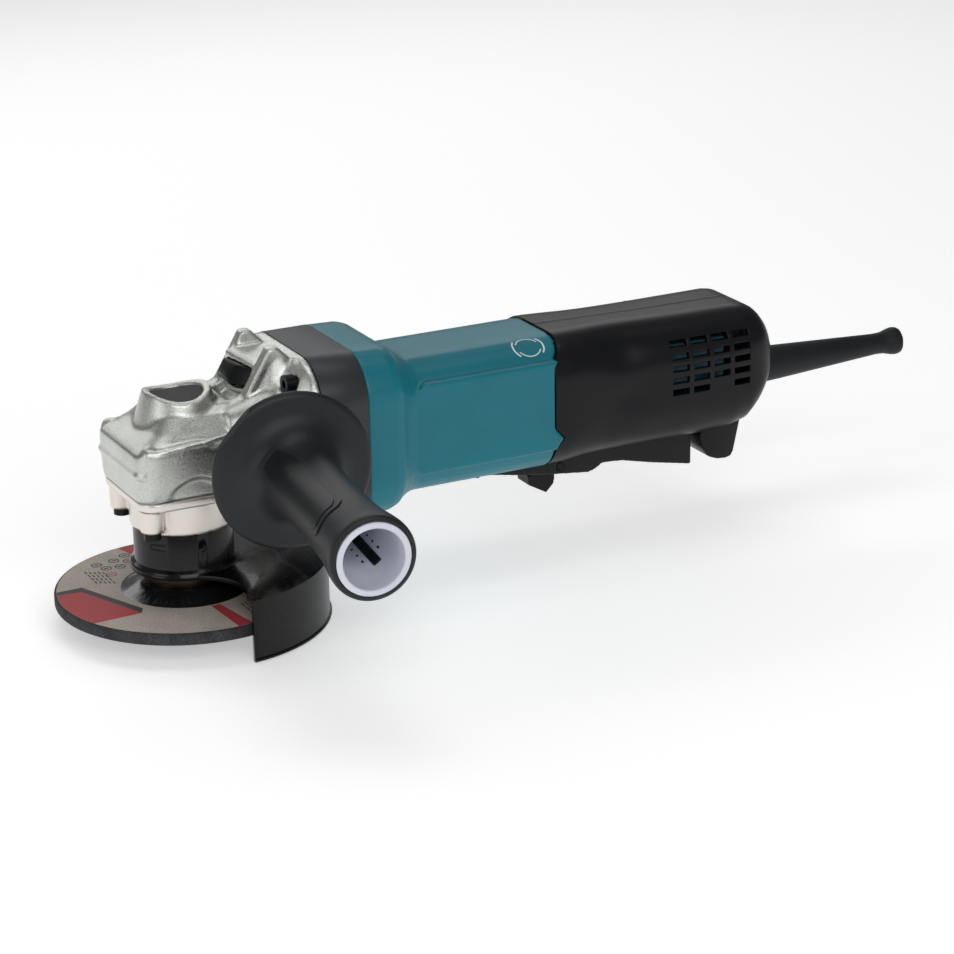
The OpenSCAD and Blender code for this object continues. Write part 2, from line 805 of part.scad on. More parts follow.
module guard_clamp_nut() {
    color(steel) rotate([0, 0, clamp_angle]) translate([clamp_r, 6, 33]) rotate([-90, 0, 0])
        difference() {
            cylinder(h = 4, r = 4.4, $fn = 6);
            translate([0, 0, -1]) cylinder(h = 6, r = 2.5);
        }
}

// ---------- side handle ----------

// The children's Z axis laid along the handle, outwards from its boss
module on_handle() {
    translate([boss_x, -boss_y, boss_z]) rotate([handle_pitch, 0, -handle_yaw])
        rotate([90, 0, 0]) children();
}

module both_handles() {
    both_sides() on_handle() children();
}

module handle_stud() {
    color(steel) on_handle() {
        translate([0, 0, 2 - socket_depth]) cylinder(h = 47, r = handle_thread_d / 2 - 0.05);
        cylinder(h = 3.5, r = 9.5);
    }
}

module handle_grip() {
    r = shield_d / 2;
    end = handle_len;
    lean = 139;
    chord = 35.9;
    color(black_plastic) on_handle() difference() {
        rotate_extrude() polygon([
            [4, 3.5], [13, 3.5], [15, 13.5], [19, 21], [r - 3, 22], [r, 24], [r, 26.5],
            [r - 2, 28], [27, 29.5], [21.5, 33], [18.2, 40], [16.6, 51], [16.2, 68],
            [16.4, 93], [17, 111], [18.4, 123], [19.6, end - 6], [19.6, end - 1.5],
            [18.6, end], [17, end], [17, 113], [13, 109], [13, 35], [4, 35]]);
        rotate([0, 0, lean]) block([chord, -30, 20], [r + 2, 30, 30]);
    }
}

module handle_core() {
    end = handle_len;
    core_r = 12.96;
    color(pale) on_handle() difference() {
        rotate_extrude() polygon([
            [0, 35.05], [core_r, 35.05], [core_r, 109.05], [core_r + 3.9, 113.05],
            [core_r + 3.9, end + 0.6], [14, end + 0.6], [13.4, 117], [10.8, 112], [10.8, 105],
            [0, 103.5]]);
        block([-7, -2.6, 95], [7, 2.6, 104.5]);
    }
}

// ---------- rear grip ----------

grip_stations = [
    [176, 34.6, 41, 108.2, 21], [192, 34.5, 41.2, 108.2, 21], [204, 33.4, 41.8, 107.6, 21],
    [222, 32.2, 42, 106.8, 20], [240, 33, 42, 106.2, 19.5], [258, 34.4, 42, 106, 19],
    [286, 34.4, 42.8, 105.8, 18], [294, 33.8, 44.6, 105.2, 17.5], [299.5, 32.6, 49, 103.2, 16.5],
    [304, 30.5, 54, 99.5, 15.5], [307.5, 28, 60, 94.5, 14], [309.5, 25.5, 64, 90.5, 12]];
cavity_stations = [
    [170, 34.6, 41, 108.2, 21], [192, 34.5, 41.2, 108.2, 21], [204, 33.4, 41.8, 107.6, 21],
    [222, 32.2, 42, 106.8, 20], [240, 33, 42, 106.2, 19.5], [258, 34.4, 42, 106, 19],
    [286, 34.4, 42.8, 105.8, 18], [294, 33.8, 44.6, 105.2, 17.5], [299.5, 32.6, 49, 103.2, 16.5],
    [304, 30.5, 54, 99.5, 15.5], [306, 29, 57.5, 96.5, 14.5]];

hook_outline = [
    [276, 50], [273.6, 41], [275.2, 33.5], [279, 28.8], [284, 26.8], [289, 26.4], [292.2, 27],
    [293.6, 29.5], [298.6, 51.5], [298.8, 54.5], [280, 54.5]];

module grip_outer() {
    difference() {
        x_loft(grip_stations);
        y_prism(-60, 60) polygon(concat([[100, 125], [100, 20]], seam(seam_gap)));
    }
    y_prism(-19, 19) polygon(hook_outline);
}

module shell_pair() {
    difference() {
        union() {
            difference() {
                grip_outer();
                x_loft(cavity_stations, wall);
            }
            // screw bosses, and the cradle that grips the cord guard's inner collar
            intersection() {
                x_loft(grip_stations);
                union() {
                    for (p = shell_screws) y_rod(p[0], p[1], -40, 40, 4);
                    x_rod(cord_guard_x0 - 2.5, 307, 15.5, 0, cord_z);
                }
            }
        }
        // opening for the paddle along the underside
        block([100, -paddle_open, 20], [273.5, paddle_open, 58]);
        // cord guard seat
        x_rod(cord_guard_x0, cord_guard_x0 + cord_collar, 13.2, 0, cord_z);
        x_rod(285, 330, 9.6, 0, cord_z);
        // intake slots
        for (i = [0:slot_columns - 1], k = [0:slot_rows - 1])
            if (i != blank_column || k != blank_row)
                translate([slot_x0 + i * slot_pitch_x, -60, slot_top_z - k * slot_pitch_z - slot_h / 2])
                    cube([slot_w, 120, slot_h]);
        // screw holes, with the heads sunk on the far side
        for (p = shell_screws) {
            y_rod(p[0], p[1], -24, 50, 1.7);
            y_rod(p[0], p[1], shell_seat_y, 50, 3.9);
        }
    }
}

module handle_shell_right() {
    color(black_plastic) intersection() {
        shell_pair();
        block([100, -60, 0], [340, 0, 130]);
    }
}

module handle_shell_left() {
    color(black_plastic) intersection() {
        shell_pair();
        block([100, 0, 0], [340, 60, 130]);
    }
}

module handle_screws() {
    color(dark_steel) for (p = shell_screws)
        translate([p[0], shell_seat_y, p[1]]) rotate([0, 0, -90]) x_screw(46, 1.7, 3.7, 3);
}

module inner_frame() {
    plate_y = 25;
    color(teal) {
        both_sides() difference() {
            block([246, plate_y - 2, 63], [283, plate_y, 93]);
            for (x = [249, 266]) block([x, plate_y - 5, 68], [x + 14, plate_y + 5, 72]);
        }
        block([246, -plate_y, 92.6], [283, plate_y, 94.2]);
        for (x = [246, 281]) block([x, -plate_y, 90], [x + 2, plate_y, 93]);
    }
}

module switch_body() {
    color(black_plastic) difference() {
        union() {
            block([214, -11, 62], [246, 11, 86]);
            z_rod(plunger_x, 0, 58.5, 63, 6);
            for (y = [-7, 0, 7]) block([218, y - 1.2, 85], [224, y + 1.2, 90]);
        }
        z_rod(plunger_x, 0, 50, 74, plunger_r + 0.08);
        for (x = [217.5, 242.5]) y_rod(x, 66, -20, 20, 1.6);
    }
}

module switch_plunger() {
    color(pale) z_rod(plunger_x, 0, 50.5, 65, plunger_r);
}

module controller() {
    color(grey_plastic) difference() {
        block([250, -17, 66], [280, 17, 89]);
        for (y = [-12:6:12]) block([252, y - 1.4, 85], [278, y + 1.4, 90]);
    }
}

module cord_guard() {
    sleeve_x = cord_guard_x0 + cord_collar;
    end_x = 405.5;
    color(black_plastic) translate([0, 0, cord_z]) rotate([0, 90, 0]) rotate_extrude() polygon([
        [cord_d / 2, cord_guard_x0], [13, cord_guard_x0], [13, sleeve_x], [9.5, sleeve_x],
        [9.3, 320], [8.9, 330], [5.5, 391], [5.7, 396], [6.8, 400], [7.3, 403], [6.9, end_x],
        [cord_d / 2, end_x]]);
}

module cord_clamp() {
    color(black_plastic) difference() {
        block([clamp_x - 3.5, -13, 54.5], [clamp_x + 3.5, 13, 61.5]);
        x_rod(clamp_x - 10, clamp_x + 10, cord_d / 2, 0, cord_z - 1.5);
        for (y = [-9.5, 9.5]) z_rod(clamp_x, y, 50, 70, 1.6);
    }
}

module cord_clamp_screws() {
    color(steel) for (y = [-9.5, 9.5])
        translate([clamp_x, y, 61.5]) rotate([0, 90, 0]) x_screw(9, 1.6, 2.9, 2);
}

// ---------- paddle group ----------

paddle_under = [
    [137.8, 43], [140, 41.8], [146, 40.9], [160, 38.9], [173, 36.4], [187, 34.3], [211, 31.4],
    [214.5, 32.4], [219, 35], [230, 34.3], [247, 30.2], [270.5, 25.4]];
paddle_rear_top = 46;
paddle_plate = 2.4;

module paddle() {
    inner_half = paddle_half - 2.2;
    last = len(paddle_under) - 1;
    trough = [for (i = [6:last - 1]) paddle_under[i] + [0, paddle_plate]];
    color(black_plastic) difference() {
        union() {
            difference() {
                y_prism(-paddle_half, paddle_half) polygon(concat(paddle_under, [
                    [270.5, paddle_rear_top], [184.5, paddle_rear_top], [184.3, 43.2],
                    [152, 45.8], [143, 46.2], [139, 45]]));
                y_prism(-inner_half, inner_half) polygon(concat(
                    [[188, 60], [188, 37.2]], trough,
                    [[268, 28.6], [268, 60]]));
            }
            // pad that lifts the switch plunger
            block([plunger_x - 5, -4, 35.5], [plunger_x + 5, 4, 49.8]);
            // seat of the return spring
            block([spring_x - 7, -7, 29.6], [spring_x + 7, 7, spring_seat]);
            // bosses for the lock-off lever's pin and spring
            both_sides() block([188, 7.4, 34.8], [200, 14, 41.5]);
        }
        // pivot hole, window for the lock-off lever, its pin hole and spring pocket
        y_rod(paddle_x, paddle_z, -30, 30, pivot_r + 0.05);
        block([180.4, -7.2, 20], [201, 7.2, 43.6]);
        y_rod(lever_x, lever_z, -30, 30, 1.8);
        y_rod(lever_x, lever_z, -12.4, -7, 3.5);
        both_sides() y_rod(lever_x, lever_z, paddle_half - 0.5, 30, 3.4);
    }
}

module paddle_pivot_pin() {
    color(steel) y_rod(paddle_x, paddle_z, -21, 21, pivot_r);
}

module paddle_spring() {
    color(steel) coil(spring_x, 0, spring_seat + 0.1, 65.9, 5, 0.6, 7);
}

module lock_off_lever() {
    color(black_plastic) difference() {
        y_prism(-6, 6) polygon([
            [190, 42], [199, 42], [200.4, 40], [200.4, 36.4], [197, 34.6], [196.4, 25.8],
            [191.8, 21.3], [182, 26.8], [181.8, 31.6], [187.5, 34.5]]);
        y_rod(lever_x, lever_z, -10, 10, 1.85);
    }
}

module lock_off_pin() {
    color(steel) y_rod(lever_x, lever_z, -paddle_half + 0.4, paddle_half - 0.4, 1.8);
}

module lock_off_spring() {
    color(steel) translate([lever_x, 0, lever_z]) rotate([90, 0, 0])
        for (k = [0:3]) translate([0, 0, 8 + k * 1.05])
            rotate_extrude() translate([2.6, 0]) circle(r = 0.5, $fn = 24);
}

gear_housing();
bearing_box();
bearing_box_screws();
gear_housing_screws();
lower_ball_bearing();
bearing_retainer();
dust_ring();
upper_bush();
shaft_lock_button();
shaft_lock_pin();
shaft_lock_spring();
baffle_ring();
motor_housing();
front_ball_bearing();
rear_ball_bearing();
stator_core();
stator_windings();
brush_holders();
carbon_brushes();
brush_springs();
handle_shell_right();
handle_shell_left();
handle_screws();
inner_frame();
switch_body();
switch_plunger();
controller();
cord_guard();
cord_clamp();
cord_clamp_screws();
paddle();
paddle_pivot_pin();
paddle_spring();
lock_off_lever();
lock_off_pin();
lock_off_spring();
armature_shaft();
armature_core();
armature_windings();
commutator();
fan();
pinion();
pinion_nut();
spindle();
bevel_gear();
inner_flange();
grinding_wheel();
lock_nut();
wheel_guard();
guard_clamp_screw();
guard_clamp_nut();
handle_grip();
handle_core();
handle_stud();
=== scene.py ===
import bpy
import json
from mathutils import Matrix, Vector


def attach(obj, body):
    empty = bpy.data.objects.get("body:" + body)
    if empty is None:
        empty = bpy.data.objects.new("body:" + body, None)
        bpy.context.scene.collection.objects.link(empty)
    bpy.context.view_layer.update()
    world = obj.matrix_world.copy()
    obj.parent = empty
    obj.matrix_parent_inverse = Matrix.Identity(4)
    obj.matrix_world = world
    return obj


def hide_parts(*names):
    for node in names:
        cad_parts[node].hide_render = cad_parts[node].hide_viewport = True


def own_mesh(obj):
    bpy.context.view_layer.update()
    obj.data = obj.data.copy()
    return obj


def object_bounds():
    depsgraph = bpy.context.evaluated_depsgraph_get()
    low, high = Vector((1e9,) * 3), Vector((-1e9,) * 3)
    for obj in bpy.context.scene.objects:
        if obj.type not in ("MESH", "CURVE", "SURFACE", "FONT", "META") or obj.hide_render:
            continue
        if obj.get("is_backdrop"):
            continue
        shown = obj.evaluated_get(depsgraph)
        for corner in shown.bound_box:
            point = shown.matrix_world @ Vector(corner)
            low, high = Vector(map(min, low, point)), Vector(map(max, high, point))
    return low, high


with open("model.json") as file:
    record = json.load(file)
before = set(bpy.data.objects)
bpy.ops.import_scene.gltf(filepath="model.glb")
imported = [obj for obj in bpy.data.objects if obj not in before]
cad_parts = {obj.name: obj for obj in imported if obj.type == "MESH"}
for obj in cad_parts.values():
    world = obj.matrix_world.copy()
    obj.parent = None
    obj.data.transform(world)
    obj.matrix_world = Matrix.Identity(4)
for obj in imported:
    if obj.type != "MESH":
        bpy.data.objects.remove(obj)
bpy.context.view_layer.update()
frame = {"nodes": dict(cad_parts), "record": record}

# Corded angle grinder: +X runs along the body to the cord, +Z up the spindle,
# the side handle points to -Y. Sizes are in millimetres until a mesh is made.
import json
import logging
import math
from dataclasses import dataclass
from enum import Enum
from typing import Any, Callable, Iterable, Sequence

import bmesh
import bpy
from mathutils import Matrix, Vector, noise

LOG = logging.getLogger("grinder")
MM = 0.001
AXIS_Z = 77.0

Point = tuple[float, float]
Place = Callable[[int, int], Sequence[float]]


# ---------------------------------------------------------------- workshop


def deselect() -> None:
    """Leave object mode with nothing selected."""
    if bpy.context.object and bpy.context.object.mode != "OBJECT":
        bpy.ops.object.mode_set(mode="OBJECT")
    bpy.ops.object.select_all(action="DESELECT")


def choose(piece: bpy.types.Object) -> None:
    """Select one piece and make it the active one."""
    deselect()
    piece.select_set(True)
    bpy.context.view_layer.objects.active = piece


def edit_all(piece: bpy.types.Object) -> None:
    """Enter edit mode on a piece with all of its mesh selected."""
    choose(piece)
    bpy.ops.object.mode_set(mode="EDIT")
    bpy.ops.mesh.select_all(action="SELECT")


def leave_edit() -> None:
    """Go back to object mode."""
    bpy.ops.object.mode_set(mode="OBJECT")


def primitive(kind: str, name: str, **settings: Any) -> bpy.types.Object:
    """Add a mesh primitive and put its place into its mesh.

    Args:
        kind: the primitive's name, such as "cylinder".
        name: the new object's name.
        **settings: what the operator takes, lengths in metres.

    Returns:
        The new object, at the origin.
    """
    deselect()
    getattr(bpy.ops.mesh, f"primitive_{kind}_add")(**settings)
    piece = bpy.context.object
    piece.name = name
    bpy.ops.object.transform_apply(location=True, rotation=True, scale=True)
    return piece


def modify(piece: bpy.types.Object, kind: str, **settings: Any) -> None:
    """Give a piece a modifier and apply it at once.

    Args:
        piece: the piece to change.
        kind: the modifier's type.
        **settings: the modifier's properties.
    """
    choose(piece)
    modifier = piece.modifiers.new(kind.title(), kind)
    for key, value in settings.items():
        setattr(modifier, key, value)
    bpy.ops.object.modifier_apply(modifier=modifier.name)


def shade(piece: bpy.types.Object, degrees: float = 32.0) -> None:
    """Shade a piece smooth, with edges sharper than an angle left crisp."""
    choose(piece)
    bpy.ops.object.shade_smooth_by_angle(angle=math.radians(degrees))


def merge(piece: bpy.types.Object, flat: float = 0.0) -> None:
    """Merge a piece's doubled vertices and, if asked, its flat neighbours.

    Args:
        piece: the piece to clean.
        flat: the angle in degrees under which faces become one; 0 leaves them.
    """
    edit_all(piece)
    bpy.ops.mesh.remove_doubles(threshold=2e-6)
    if flat:
        bpy.ops.mesh.dissolve_limited(angle_limit=math.radians(flat))
    leave_edit()


def face_outwards(piece: bpy.types.Object) -> None:
    """Turn all of a piece's faces outwards."""
    edit_all(piece)
    bpy.ops.mesh.normals_make_consistent(inside=False)
    leave_edit()


def cad_copy(node: str, name: str, flat: float = 0.6) -> bpy.types.Object:
    """Copy a CAD node's shape into a piece of its own, cleaned for modelling.

    Args:
        node: the CAD node's name.
        name: the new piece's name.
        flat: the angle in degrees under which faces become one.

    Returns:
        The new piece.
    """
    piece = bpy.data.objects.new(name, frame["nodes"][node].data.copy())
    piece.data.materials.clear()
    bpy.context.scene.collection.objects.link(piece)
    merge(piece, flat)
    return piece


def cut(piece: bpy.types.Object, tool: bpy.types.Object, how: str = "DIFFERENCE") -> None:
    """Cut or join a piece with another shape, and remove that shape."""
    modify(piece, "BOOLEAN", object=tool, operation=how, solver="EXACT")
    bpy.data.objects.remove(tool)


def join(pieces: Sequence[bpy.types.Object], name: str) -> bpy.types.Object:
    """Make several pieces one, keeping each shape's own mesh parts."""
    choose(pieces[0])
    for piece in pieces:
        piece.select_set(True)
    if len(pieces) > 1:
        bpy.ops.object.join()
    pieces[0].name = name
    return pieces[0]


def wrap_sheet(name: str, rows: int, columns: int, place: Place, keep: Callable[[int, int], bool] | None = None) -> bpy.types.Object:
    """Bend a flat grid into a skin.

    Args:
        name: the new piece's name.
        rows: how many points it has one way.
        columns: how many points it has the other way.
        place: gives the place in millimetres of the point in a row and a column.
        keep: says whether the face after a row and a column stays.

    Returns:
        The new piece, an open skin with its doubled points merged.
    """
    piece = primitive("grid", name, x_subdivisions=rows - 1, y_subdivisions=columns - 1, size=2.0)
    step_x, step_y = 2.0 / (rows - 1), 2.0 / (columns - 1)
    spots = [(round((v.co.x + 1) / step_x), round((v.co.y + 1) / step_y)) for v in piece.data.vertices]
    if keep:
        edit_all(piece)
        mesh = bmesh.from_edit_mesh(piece.data)
        for face in mesh.faces:
            low = min((spots[v.index] for v in face.verts))
            face.select = not keep(*low)
        bpy.ops.mesh.delete(type="FACE")
        leave_edit()
        spots = [(round((v.co.x + 1) / step_x), round((v.co.y + 1) / step_y)) for v in piece.data.vertices]
    for vertex, (row, column) in zip(piece.data.vertices, spots):
        vertex.co = Vector(place(row, column)) * MM
    merge(piece)
    return piece


def soften(piece: bpy.types.Object, width: float, segments: int = 2, angle: float = 28.0) -> None:
    """Round a piece's sharp edges.

    Args:
        piece: the piece to change.
        width: the rounding's width in millimetres.
        segments: how many facets make it.
        angle: only edges sharper than this many degrees are rounded.
    """
    modify(
        piece, "BEVEL", width=width * MM, segments=segments, limit_method="ANGLE",
        angle_limit=math.radians(angle), use_clamp_overlap=True, miter_outer="MITER_ARC",
    )


def smoothstep(low: float, high: float, value: float) -> float:
    """Rise from 0 to 1 between two values."""
    t = min(1.0, max(0.0, (value - low) / (high - low)))
    return t * t * (3 - 2 * t)


def settle(piece: bpy.types.Object, body: str, slot: str, *nodes: str) -> bpy.types.Object:
    """Ride a piece on its body and hide the CAD nodes that it stands for.

    Args:
        piece: the finished piece.
        body: the CAD body it moves with.
        slot: not used.
        *nodes: the CAD nodes it replaces.

    Returns:
        The same piece.
    """
    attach(piece, body)
    if nodes:
        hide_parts(*nodes)
    LOG.info("%s: %d faces, on %s", piece.name, len(piece.data.polygons), body)
    return piece


# ---------------------------------------------------------------- finishes


def colour(code: str) -> tuple[float, float, float, float]:
    """Turn an sRGB hex value into Blender's linear colour."""
    parts = [int(code[i : i + 2], 16) / 255 for i in (1, 3, 5)]
    linear = [p / 12.92 if p <= 0.04045 else ((p + 0.055) / 1.055) ** 2.4 for p in parts]
    return (*linear, 1.0)


def add_node(tree: bpy.types.NodeTree, kind: str, settings: dict[str, Any] | None = None, **inputs: Any) -> bpy.types.Node:
    """Add a shader node, set it and link it.

    Args:
        tree: the tree that takes the node.
        kind: the node's type after "ShaderNode".
        settings: the node's own properties.
        **inputs: socket values by name or by number with a leading "n"; a socket is linked.

    Returns:
        The new node.
    """
    node = tree.nodes.new("ShaderNode" + kind)
    for key, value in (settings or {}).items():
        setattr(node, key, value)
    for key, value in inputs.items():
        socket = node.inputs[int(key[1:])] if key[0] == "n" and key[1:].isdigit() else node.inputs[key.replace("_", " ")]
        if isinstance(value, bpy.types.NodeSocket):
            tree.links.new(value, socket)
        else:
            socket.default_value = value
    return node


@dataclass(frozen=True)
class Finish:
    """A surface: its colours, its shine and the grain that the maker's process leaves.

    Grain and cloud sizes are in millimetres.
    """

    name: str
    base: str
    shade: str
    roughness: float
    metallic: float = 0.0
    roughness_swing: float = 0.06
    grain: float = 0.5
    relief: float = 0.02
    cloud: float = 25.0
    cloud_strength: float = 0.5
    speck: float = 0.0
    coat: float = 0.0
    coat_roughness: float = 0.1
    stretch: tuple[float, float, float] = (1.0, 1.0, 1.0)
    specular: float = 0.5

    def material(self) -> bpy.types.Material:
        """Build the finish once, and give the same material after that."""
        made = bpy.data.materials.get(self.name)
        if made:
            return made
        made = bpy.data.materials.new(self.name)
        made.use_nodes = True
        tree = made.node_tree
        tree.nodes.clear()
        place = add_node(tree, "TexCoord").outputs["Object"]
        self.fill(tree, place)
        return made

    def fill(self, tree: bpy.types.NodeTree, place: bpy.types.NodeSocket) -> None:
        """Lay out the nodes.

        Args:
            tree: the material's tree.
            place: the object coordinates.
        """
        run = add_node(tree, "Mapping", n0=place, Scale=self.stretch).outputs[0]
        grain = add_node(tree, "TexNoise", n0=run, Scale=1000 / self.grain, Detail=3.0, Roughness=0.6)
        cloud = add_node(tree, "TexNoise", n0=place, Scale=1000 / self.cloud, Detail=4.0, Roughness=0.55)
        blend = add_node(tree, "MapRange", n0=cloud.outputs[0], n1=0.35, n2=0.65, n3=0.0, n4=self.cloud_strength)
        tint = add_node(
            tree, "Mix", {"data_type": "RGBA"}, n0=blend.outputs[0], n6=colour(self.base), n7=colour(self.shade),
        ).outputs[2]
        if self.speck:
            spots = add_node(tree, "MapRange", n0=grain.outputs[0], n1=0.38, n2=0.66, n3=1 - self.speck, n4=1 + self.speck)
            tint = add_node(
                tree, "Mix", {"data_type": "RGBA", "blend_type": "MULTIPLY"}, n0=1.0, n6=tint, n7=spots.outputs[0],
            ).outputs[2]
        tint = self.print_on(tree, place, tint)
        gloss = add_node(
            tree, "MapRange", n0=grain.outputs[0], n1=0.3, n2=0.7,
            n3=self.roughness - self.roughness_swing, n4=self.roughness + self.roughness_swing,
        )
        bump = add_node(tree, "Bump", Strength=1.0, Distance=self.relief * MM, Height=grain.outputs[0])
        shader = add_node(
            tree, "BsdfPrincipled", Base_Color=tint, Metallic=self.metallic, Roughness=gloss.outputs[0],
            Coat_Weight=self.coat, Coat_Roughness=self.coat_roughness, Specular_IOR_Level=self.specular, Normal=self.texture(tree, place, bump.outputs[0]),
        )
        add_node(tree, "OutputMaterial", Surface=shader.outputs[0])

    def print_on(self, tree: bpy.types.NodeTree, place: bpy.types.NodeSocket, tint: bpy.types.NodeSocket) -> bpy.types.NodeSocket:
        """Change the colour where a finish carries a pattern; a plain one has none."""
        return tint

    def texture(self, tree: bpy.types.NodeTree, place: bpy.types.NodeSocket, normal: bpy.types.NodeSocket) -> bpy.types.NodeSocket:
        """Add relief to the grain's; a plain finish has no more."""
        return normal


# Shot-blasted aluminium casting: bright, with a fine sparkle from the blasted grain
CAST = Finish("shot_blasted_cast_aluminium", "#D0D2CD", "#BBBDB8", 0.36, 1.0, 0.12, 0.6, 0.12, 30, 0.6, 0.18)
# The bearing box comes from another alloy, a little warmer
WARM_CAST = Finish("warm_cast_aluminium", "#8B8176", "#7A7065", 0.42, 1.0, 0.12, 0.6, 0.10, 20, 0.6, 0.18)
# Moulded glass-filled nylon, satin, with a faint flow pattern
TEAL = Finish("moulded_teal_nylon", "#0B7382", "#096775", 0.40, 0.0, 0.05, 0.35, 0.006, 40, 0.6, 0.03, specular=0.35)
# Painted shade: a darker copy of the teal nylon for the inner frame, standing in for the shade inside the housing
# behind the vents
SHADE_PAINTED_TEAL = Finish("teal_nylon_with_painted_shade", "#0F4A58", "#0C3F4C", 0.42, 0.0, 0.05, 0.35, 0.006, 40, 0.6, 0.03)
BLACK = Finish("moulded_black_nylon", "#101114", "#0B0C0F", 0.36, 0.0, 0.06, 0.35, 0.008, 40, 0.6, 0.05, specular=0.22)
PADDLE_BLACK = Finish("moulded_black_nylon_fine", "#17181A", "#111214", 0.42, 0.0, 0.06, 0.3, 0.008, 30, 0.6, 0.05, specular=0.22)
GREY = Finish("moulded_grey_nylon", "#2C2F33", "#272A2D", 0.42, 0.0, 0.05, 0.4, 0.01, 40, 0.6, 0.05, specular=0.4)
HANDLE_PANEL = Finish("moulded_handle_panel", "#141619", "#101215", 0.40, 0.0, 0.05, 0.3, 0.006, 35, 0.6, 0.04, specular=0.3)
HANDLE = Finish("moulded_handle_nylon", "#1B1D21", "#16181B", 0.46, 0.0, 0.06, 0.4, 0.012, 35, 0.6, 0.06, specular=0.35)
PALE = Finish("moulded_pale_nylon", "#D9DBE6", "#C9CCDA", 0.40, 0.0, 0.05, 0.5, 0.006, 12, 0.5)
RUBBER = Finish("moulded_rubber", "#1E2022", "#17181A", 0.52, 0.0, 0.06, 0.3, 0.012, 30, 0.6, 0.06, specular=0.22)
# Stove enamel over pressed steel: deep black with a wet gloss
ENAMEL = Finish("black_stove_enamel", "#08090B", "#0A0B0D", 0.24, 0.0, 0.05, 3.0, 0.01, 40, 0.5, 0.0, 0.15, 0.06, specular=0.25)
OXIDE = Finish("black_oxide_steel", "#2A2A2C", "#1E1E20", 0.36, 1.0, 0.1, 0.25, 0.01, 8, 0.6, 0.1)
STEEL = Finish("turned_steel", "#B9BABC", "#A5A6A9", 0.30, 1.0, 0.1, 0.3, 0.008, 10, 0.5, 0.06, stretch=(0.2, 0.2, 1.0))
SPRING = Finish("bright_spring_wire", "#C6C7C9", "#B4B5B8", 0.22, 1.0, 0.06, 0.2, 0.004, 6, 0.4, 0.04)
BRONZE = Finish("dark_plated_turned_steel", "#4A4037", "#3A322B", 0.34, 1.0, 0.1, 0.3, 0.02, 10, 0.6, 0.08, stretch=(0.1, 0.1, 1.0))
COPPER = Finish("enamelled_copper_wire", "#B46A38", "#9A5527", 0.34, 1.0, 0.1, 0.5, 0.03, 6, 0.6, 0.12)
BRASS = Finish("stamped_brass", "#C7A355", "#B08D45", 0.32, 1.0, 0.08, 0.3, 0.008, 8, 0.5, 0.06)
CARBON = Finish("pressed_carbon", "#26262A", "#1B1B1E", 0.55, 0.0, 0.08, 0.2, 0.02, 5, 0.6, 0.1)
CARD = Finish("printed_paper_over_glass_mesh", "#B9B0A6", "#A89E94", 0.72, 0.0, 0.08, 0.8, 0.12, 14, 0.7, 0.25)
HUB_PAPER = Finish("gloss_black_paper", "#1B1A1A", "#121212", 0.24, 0.0, 0.05, 0.6, 0.01, 14, 0.5, 0.0, 0.3)
WHITE_INK = Finish("white_pad_print", "#E4E7E8", "#D6DADB", 0.45, 0.0, 0.05, 0.3, 0.004, 10, 0.4, 0.04)
RED_INK = Finish("red_ink_on_paper", "#B0343B", "#A23E44", 0.62, 0.0, 0.08, 0.8, 0.10, 12, 0.6, 0.22)
DARK_INK = Finish("dark_ink_on_paper", "#3D3A3A", "#4B4746", 0.66, 0.0, 0.08, 0.8, 0.10, 12, 0.6, 0.22)
GRIT = Finish("bonded_grit", "#3A3B3D", "#26272A", 0.85, 0.0, 0.1, 0.8, 0.35, 6, 0.8, 0.6)

SLOTS: dict[str, str] = {row["node"]: row["material_slot"] for row in frame["record"]["subparts"]}

NODE_FINISHES: dict[str, Finish] = {
    "gear_housing": CAST, "bearing_box": WARM_CAST, "bearing_box_screws": OXIDE,
    "gear_housing_screws": OXIDE, "lower_ball_bearing": STEEL, "bearing_retainer": STEEL,
    "dust_ring": BLACK, "upper_bush": BRASS, "shaft_lock_button": RUBBER,
    "shaft_lock_pin": STEEL, "shaft_lock_spring": SPRING, "baffle_ring": GREY,
    "motor_housing": TEAL, "front_ball_bearing": STEEL, "rear_ball_bearing": STEEL,
    "stator_core": STEEL, "stator_windings": COPPER, "brush_holders": BRASS,
    "carbon_brushes": CARBON, "brush_springs": SPRING, "handle_shell_right": BLACK,
    # the inner frame takes the teal with painted shade, for the dark seen through the vents
    "handle_shell_left": BLACK, "handle_screws": OXIDE, "inner_frame": SHADE_PAINTED_TEAL,
    "switch_body": BLACK, "switch_plunger": PALE, "controller": GREY,
    "cord_guard": RUBBER, "cord_clamp": BLACK, "cord_clamp_screws": STEEL,
    "paddle": PADDLE_BLACK, "paddle_pivot_pin": OXIDE, "paddle_spring": SPRING,
    "lock_off_lever": BLACK, "lock_off_pin": OXIDE, "lock_off_spring": SPRING,
    "armature_shaft": STEEL, "armature_core": STEEL, "armature_windings": COPPER,
    "commutator": COPPER, "fan": GREY, "pinion": STEEL, "pinion_nut": STEEL,
    "spindle": STEEL, "bevel_gear": STEEL, "inner_flange": BRONZE, "grinding_wheel": GRIT,
    "lock_nut": OXIDE, "wheel_guard": ENAMEL, "guard_clamp_screw": OXIDE,
    "guard_clamp_nut": STEEL, "handle_grip": HANDLE, "handle_core": PALE, "handle_stud": STEEL,
}


def dress(piece: bpy.types.Object, finish: Finish) -> None:
    """Give a piece one finish all over."""
    piece.data.materials.clear()
    piece.data.materials.append(finish.material())


def ball_hull(name: str, *balls: Sequence[float]) -> bpy.types.Object:
    """Stretch a skin over a few balls, as a rib or lug with rounded ends.

    Args:
        name: the new piece's name.
        *balls: each ball's middle and radius in millimetres.

    Returns:
        The new piece.
    """
    made = [
        primitive("ico_sphere", name, subdivisions=2, radius=r * MM, location=Vector((x, y, z)) * MM)
        for x, y, z, r in balls
    ]
    piece = join(made, name)
    edit_all(piece)
    bpy.ops.mesh.convex_hull()
    leave_edit()
    return piece


